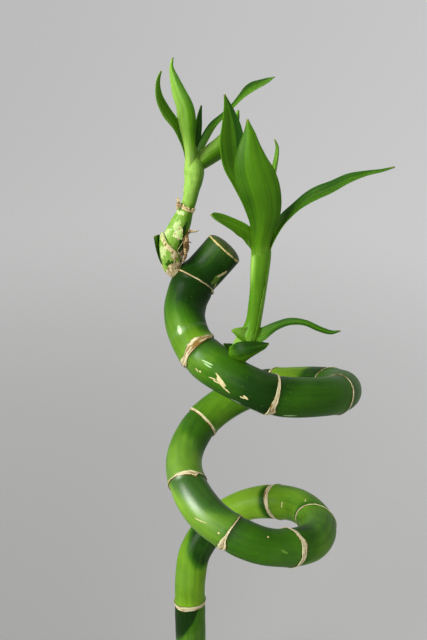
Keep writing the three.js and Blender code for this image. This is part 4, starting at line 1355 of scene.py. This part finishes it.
class BAMBOO_OT_stage(Operator):
    """Make the backdrop, the lights and the camera"""

    bl_idname = "bamboo.stage"
    bl_label = "Stage"

    def execute(self, context):
        scene = context.scene
        settings = scene.bamboo_stage
        recipe = Recipe("backdrop_paper")
        place = recipe.place()
        tooth = recipe.noise(place, 300.0, 2.0)
        right = recipe.part(place, 0)
        reach = recipe.node("ShaderNodeVectorMath", {"operation": "LENGTH"}, {0: place}, 1)
        glow = recipe.smooth(reach, 0.0, 1.5) * 0.212 + 0.105 * right / (reach + 0.04) + settings.glow
        glow = glow + 0.14 * recipe.smooth(recipe.part(place, 1), 0.0, -0.9)
        material = recipe.finish({
            "Base Color": recipe.mix(0.04 * tooth, settings.backdrop, (0.3, 0.3, 0.3)), "Roughness": 0.9,
            "Emission Color": recipe.mix(glow, (0, 0, 0), (1, 1, 1)), "Emission Strength": 1.0})
        rises = [math.radians(angle) for angle in range(0, 91, 5)]
        curve = [(FLOOR_RADIUS + CURVE_RADIUS * math.sin(rise), CURVE_RADIUS - CURVE_RADIUS * math.cos(rise))
                 for rise in rises]
        bowl = turned("backdrop", [(0, 0), (FLOOR_RADIUS / 2, 0), *curve, BACKDROP_EDGE])
        bm = bmesh.new()
        bm.from_mesh(bowl)
        bmesh.ops.reverse_faces(bm, faces=bm.faces)
        bmesh.ops.translate(bm, verts=bm.verts, vec=(0, 0, -0.05 * MM))
        bm.to_mesh(bowl)
        bm.free()
        add_piece("backdrop", bowl, material, ride=False)

        world = bpy.data.worlds.new("studio")
        world.use_nodes = True
        world.node_tree.nodes["Background"].inputs["Color"].default_value = (1, 1, 1, 1)
        world.node_tree.nodes["Background"].inputs["Strength"].default_value = settings.sky
        scene.world = world

        for name, power, size, place in (
                ("key_light", settings.key_light, 0.7, KEY_LIGHT_PLACE),
                ("window", settings.window_light, 0.75, WINDOW_PLACE)):
            light = bpy.data.lights.new(name, "AREA")
            light.size, light.energy, light.color = size, power, (1, 0.99, 0.96)
            lamp = bpy.data.objects.new(name, light)
            scene.collection.objects.link(lamp)
            aim(lamp, place, LIT_POINT)
            lamp.visible_diffuse, lamp.visible_glossy = name != "window", name != "key_light"
            lamp.visible_camera = False

        camera = bpy.data.objects.new("camera", bpy.data.cameras.new("camera"))
        scene.collection.objects.link(camera)
        camera.data.lens, camera.data.sensor_width = 33.75, 36
        camera.data.clip_start = 0.01
        down = math.radians(CAMERA_DOWN)
        x, y, z = CAMERA_TARGET
        aim(camera, (x, y - CAMERA_REACH * math.cos(down), z + CAMERA_REACH * math.sin(down)), CAMERA_TARGET)
        scene.camera = camera
        scene.view_settings.view_transform = "Standard"
        return {"FINISHED"}


class BAMBOO_PT_panel(Panel):
    bl_label = "Curled Lucky Bamboo"
    bl_idname = "BAMBOO_PT_panel"
    bl_space_type = "VIEW_3D"
    bl_region_type = "UI"
    bl_category = "Bamboo"

    def draw(self, context):
        for operator in OPERATORS:
            self.layout.operator(operator.bl_idname)
        for group in SETTINGS:
            box = self.layout.box()
            for name in SETTINGS[group].__annotations__:
                box.prop(getattr(context.scene, group), name)


SETTINGS = {
    "bamboo_cane": CaneSettings, "bamboo_shoots": ShootSettings,
    "bamboo_vase": VaseSettings, "bamboo_stage": StageSettings,
}
OPERATORS = [
    BAMBOO_OT_cane, BAMBOO_OT_scars, BAMBOO_OT_stalks, BAMBOO_OT_leaves, BAMBOO_OT_bracts, BAMBOO_OT_husk,
    BAMBOO_OT_vase, BAMBOO_OT_pebbles, BAMBOO_OT_water, BAMBOO_OT_stage,
]


def register():
    for item in [*SETTINGS.values(), *OPERATORS, BAMBOO_PT_panel]:
        bpy.utils.register_class(item)
    for name, group in SETTINGS.items():
        setattr(bpy.types.Scene, name, PointerProperty(type=group))


def unregister():
    for name in SETTINGS:
        delattr(bpy.types.Scene, name)
    for item in reversed([*SETTINGS.values(), *OPERATORS, BAMBOO_PT_panel]):
        bpy.utils.unregister_class(item)


def main():
    register()
    for operator in OPERATORS:
        getattr(bpy.ops.bamboo, operator.bl_idname.partition(".")[2])()


if __name__ == "__main__":
    main()
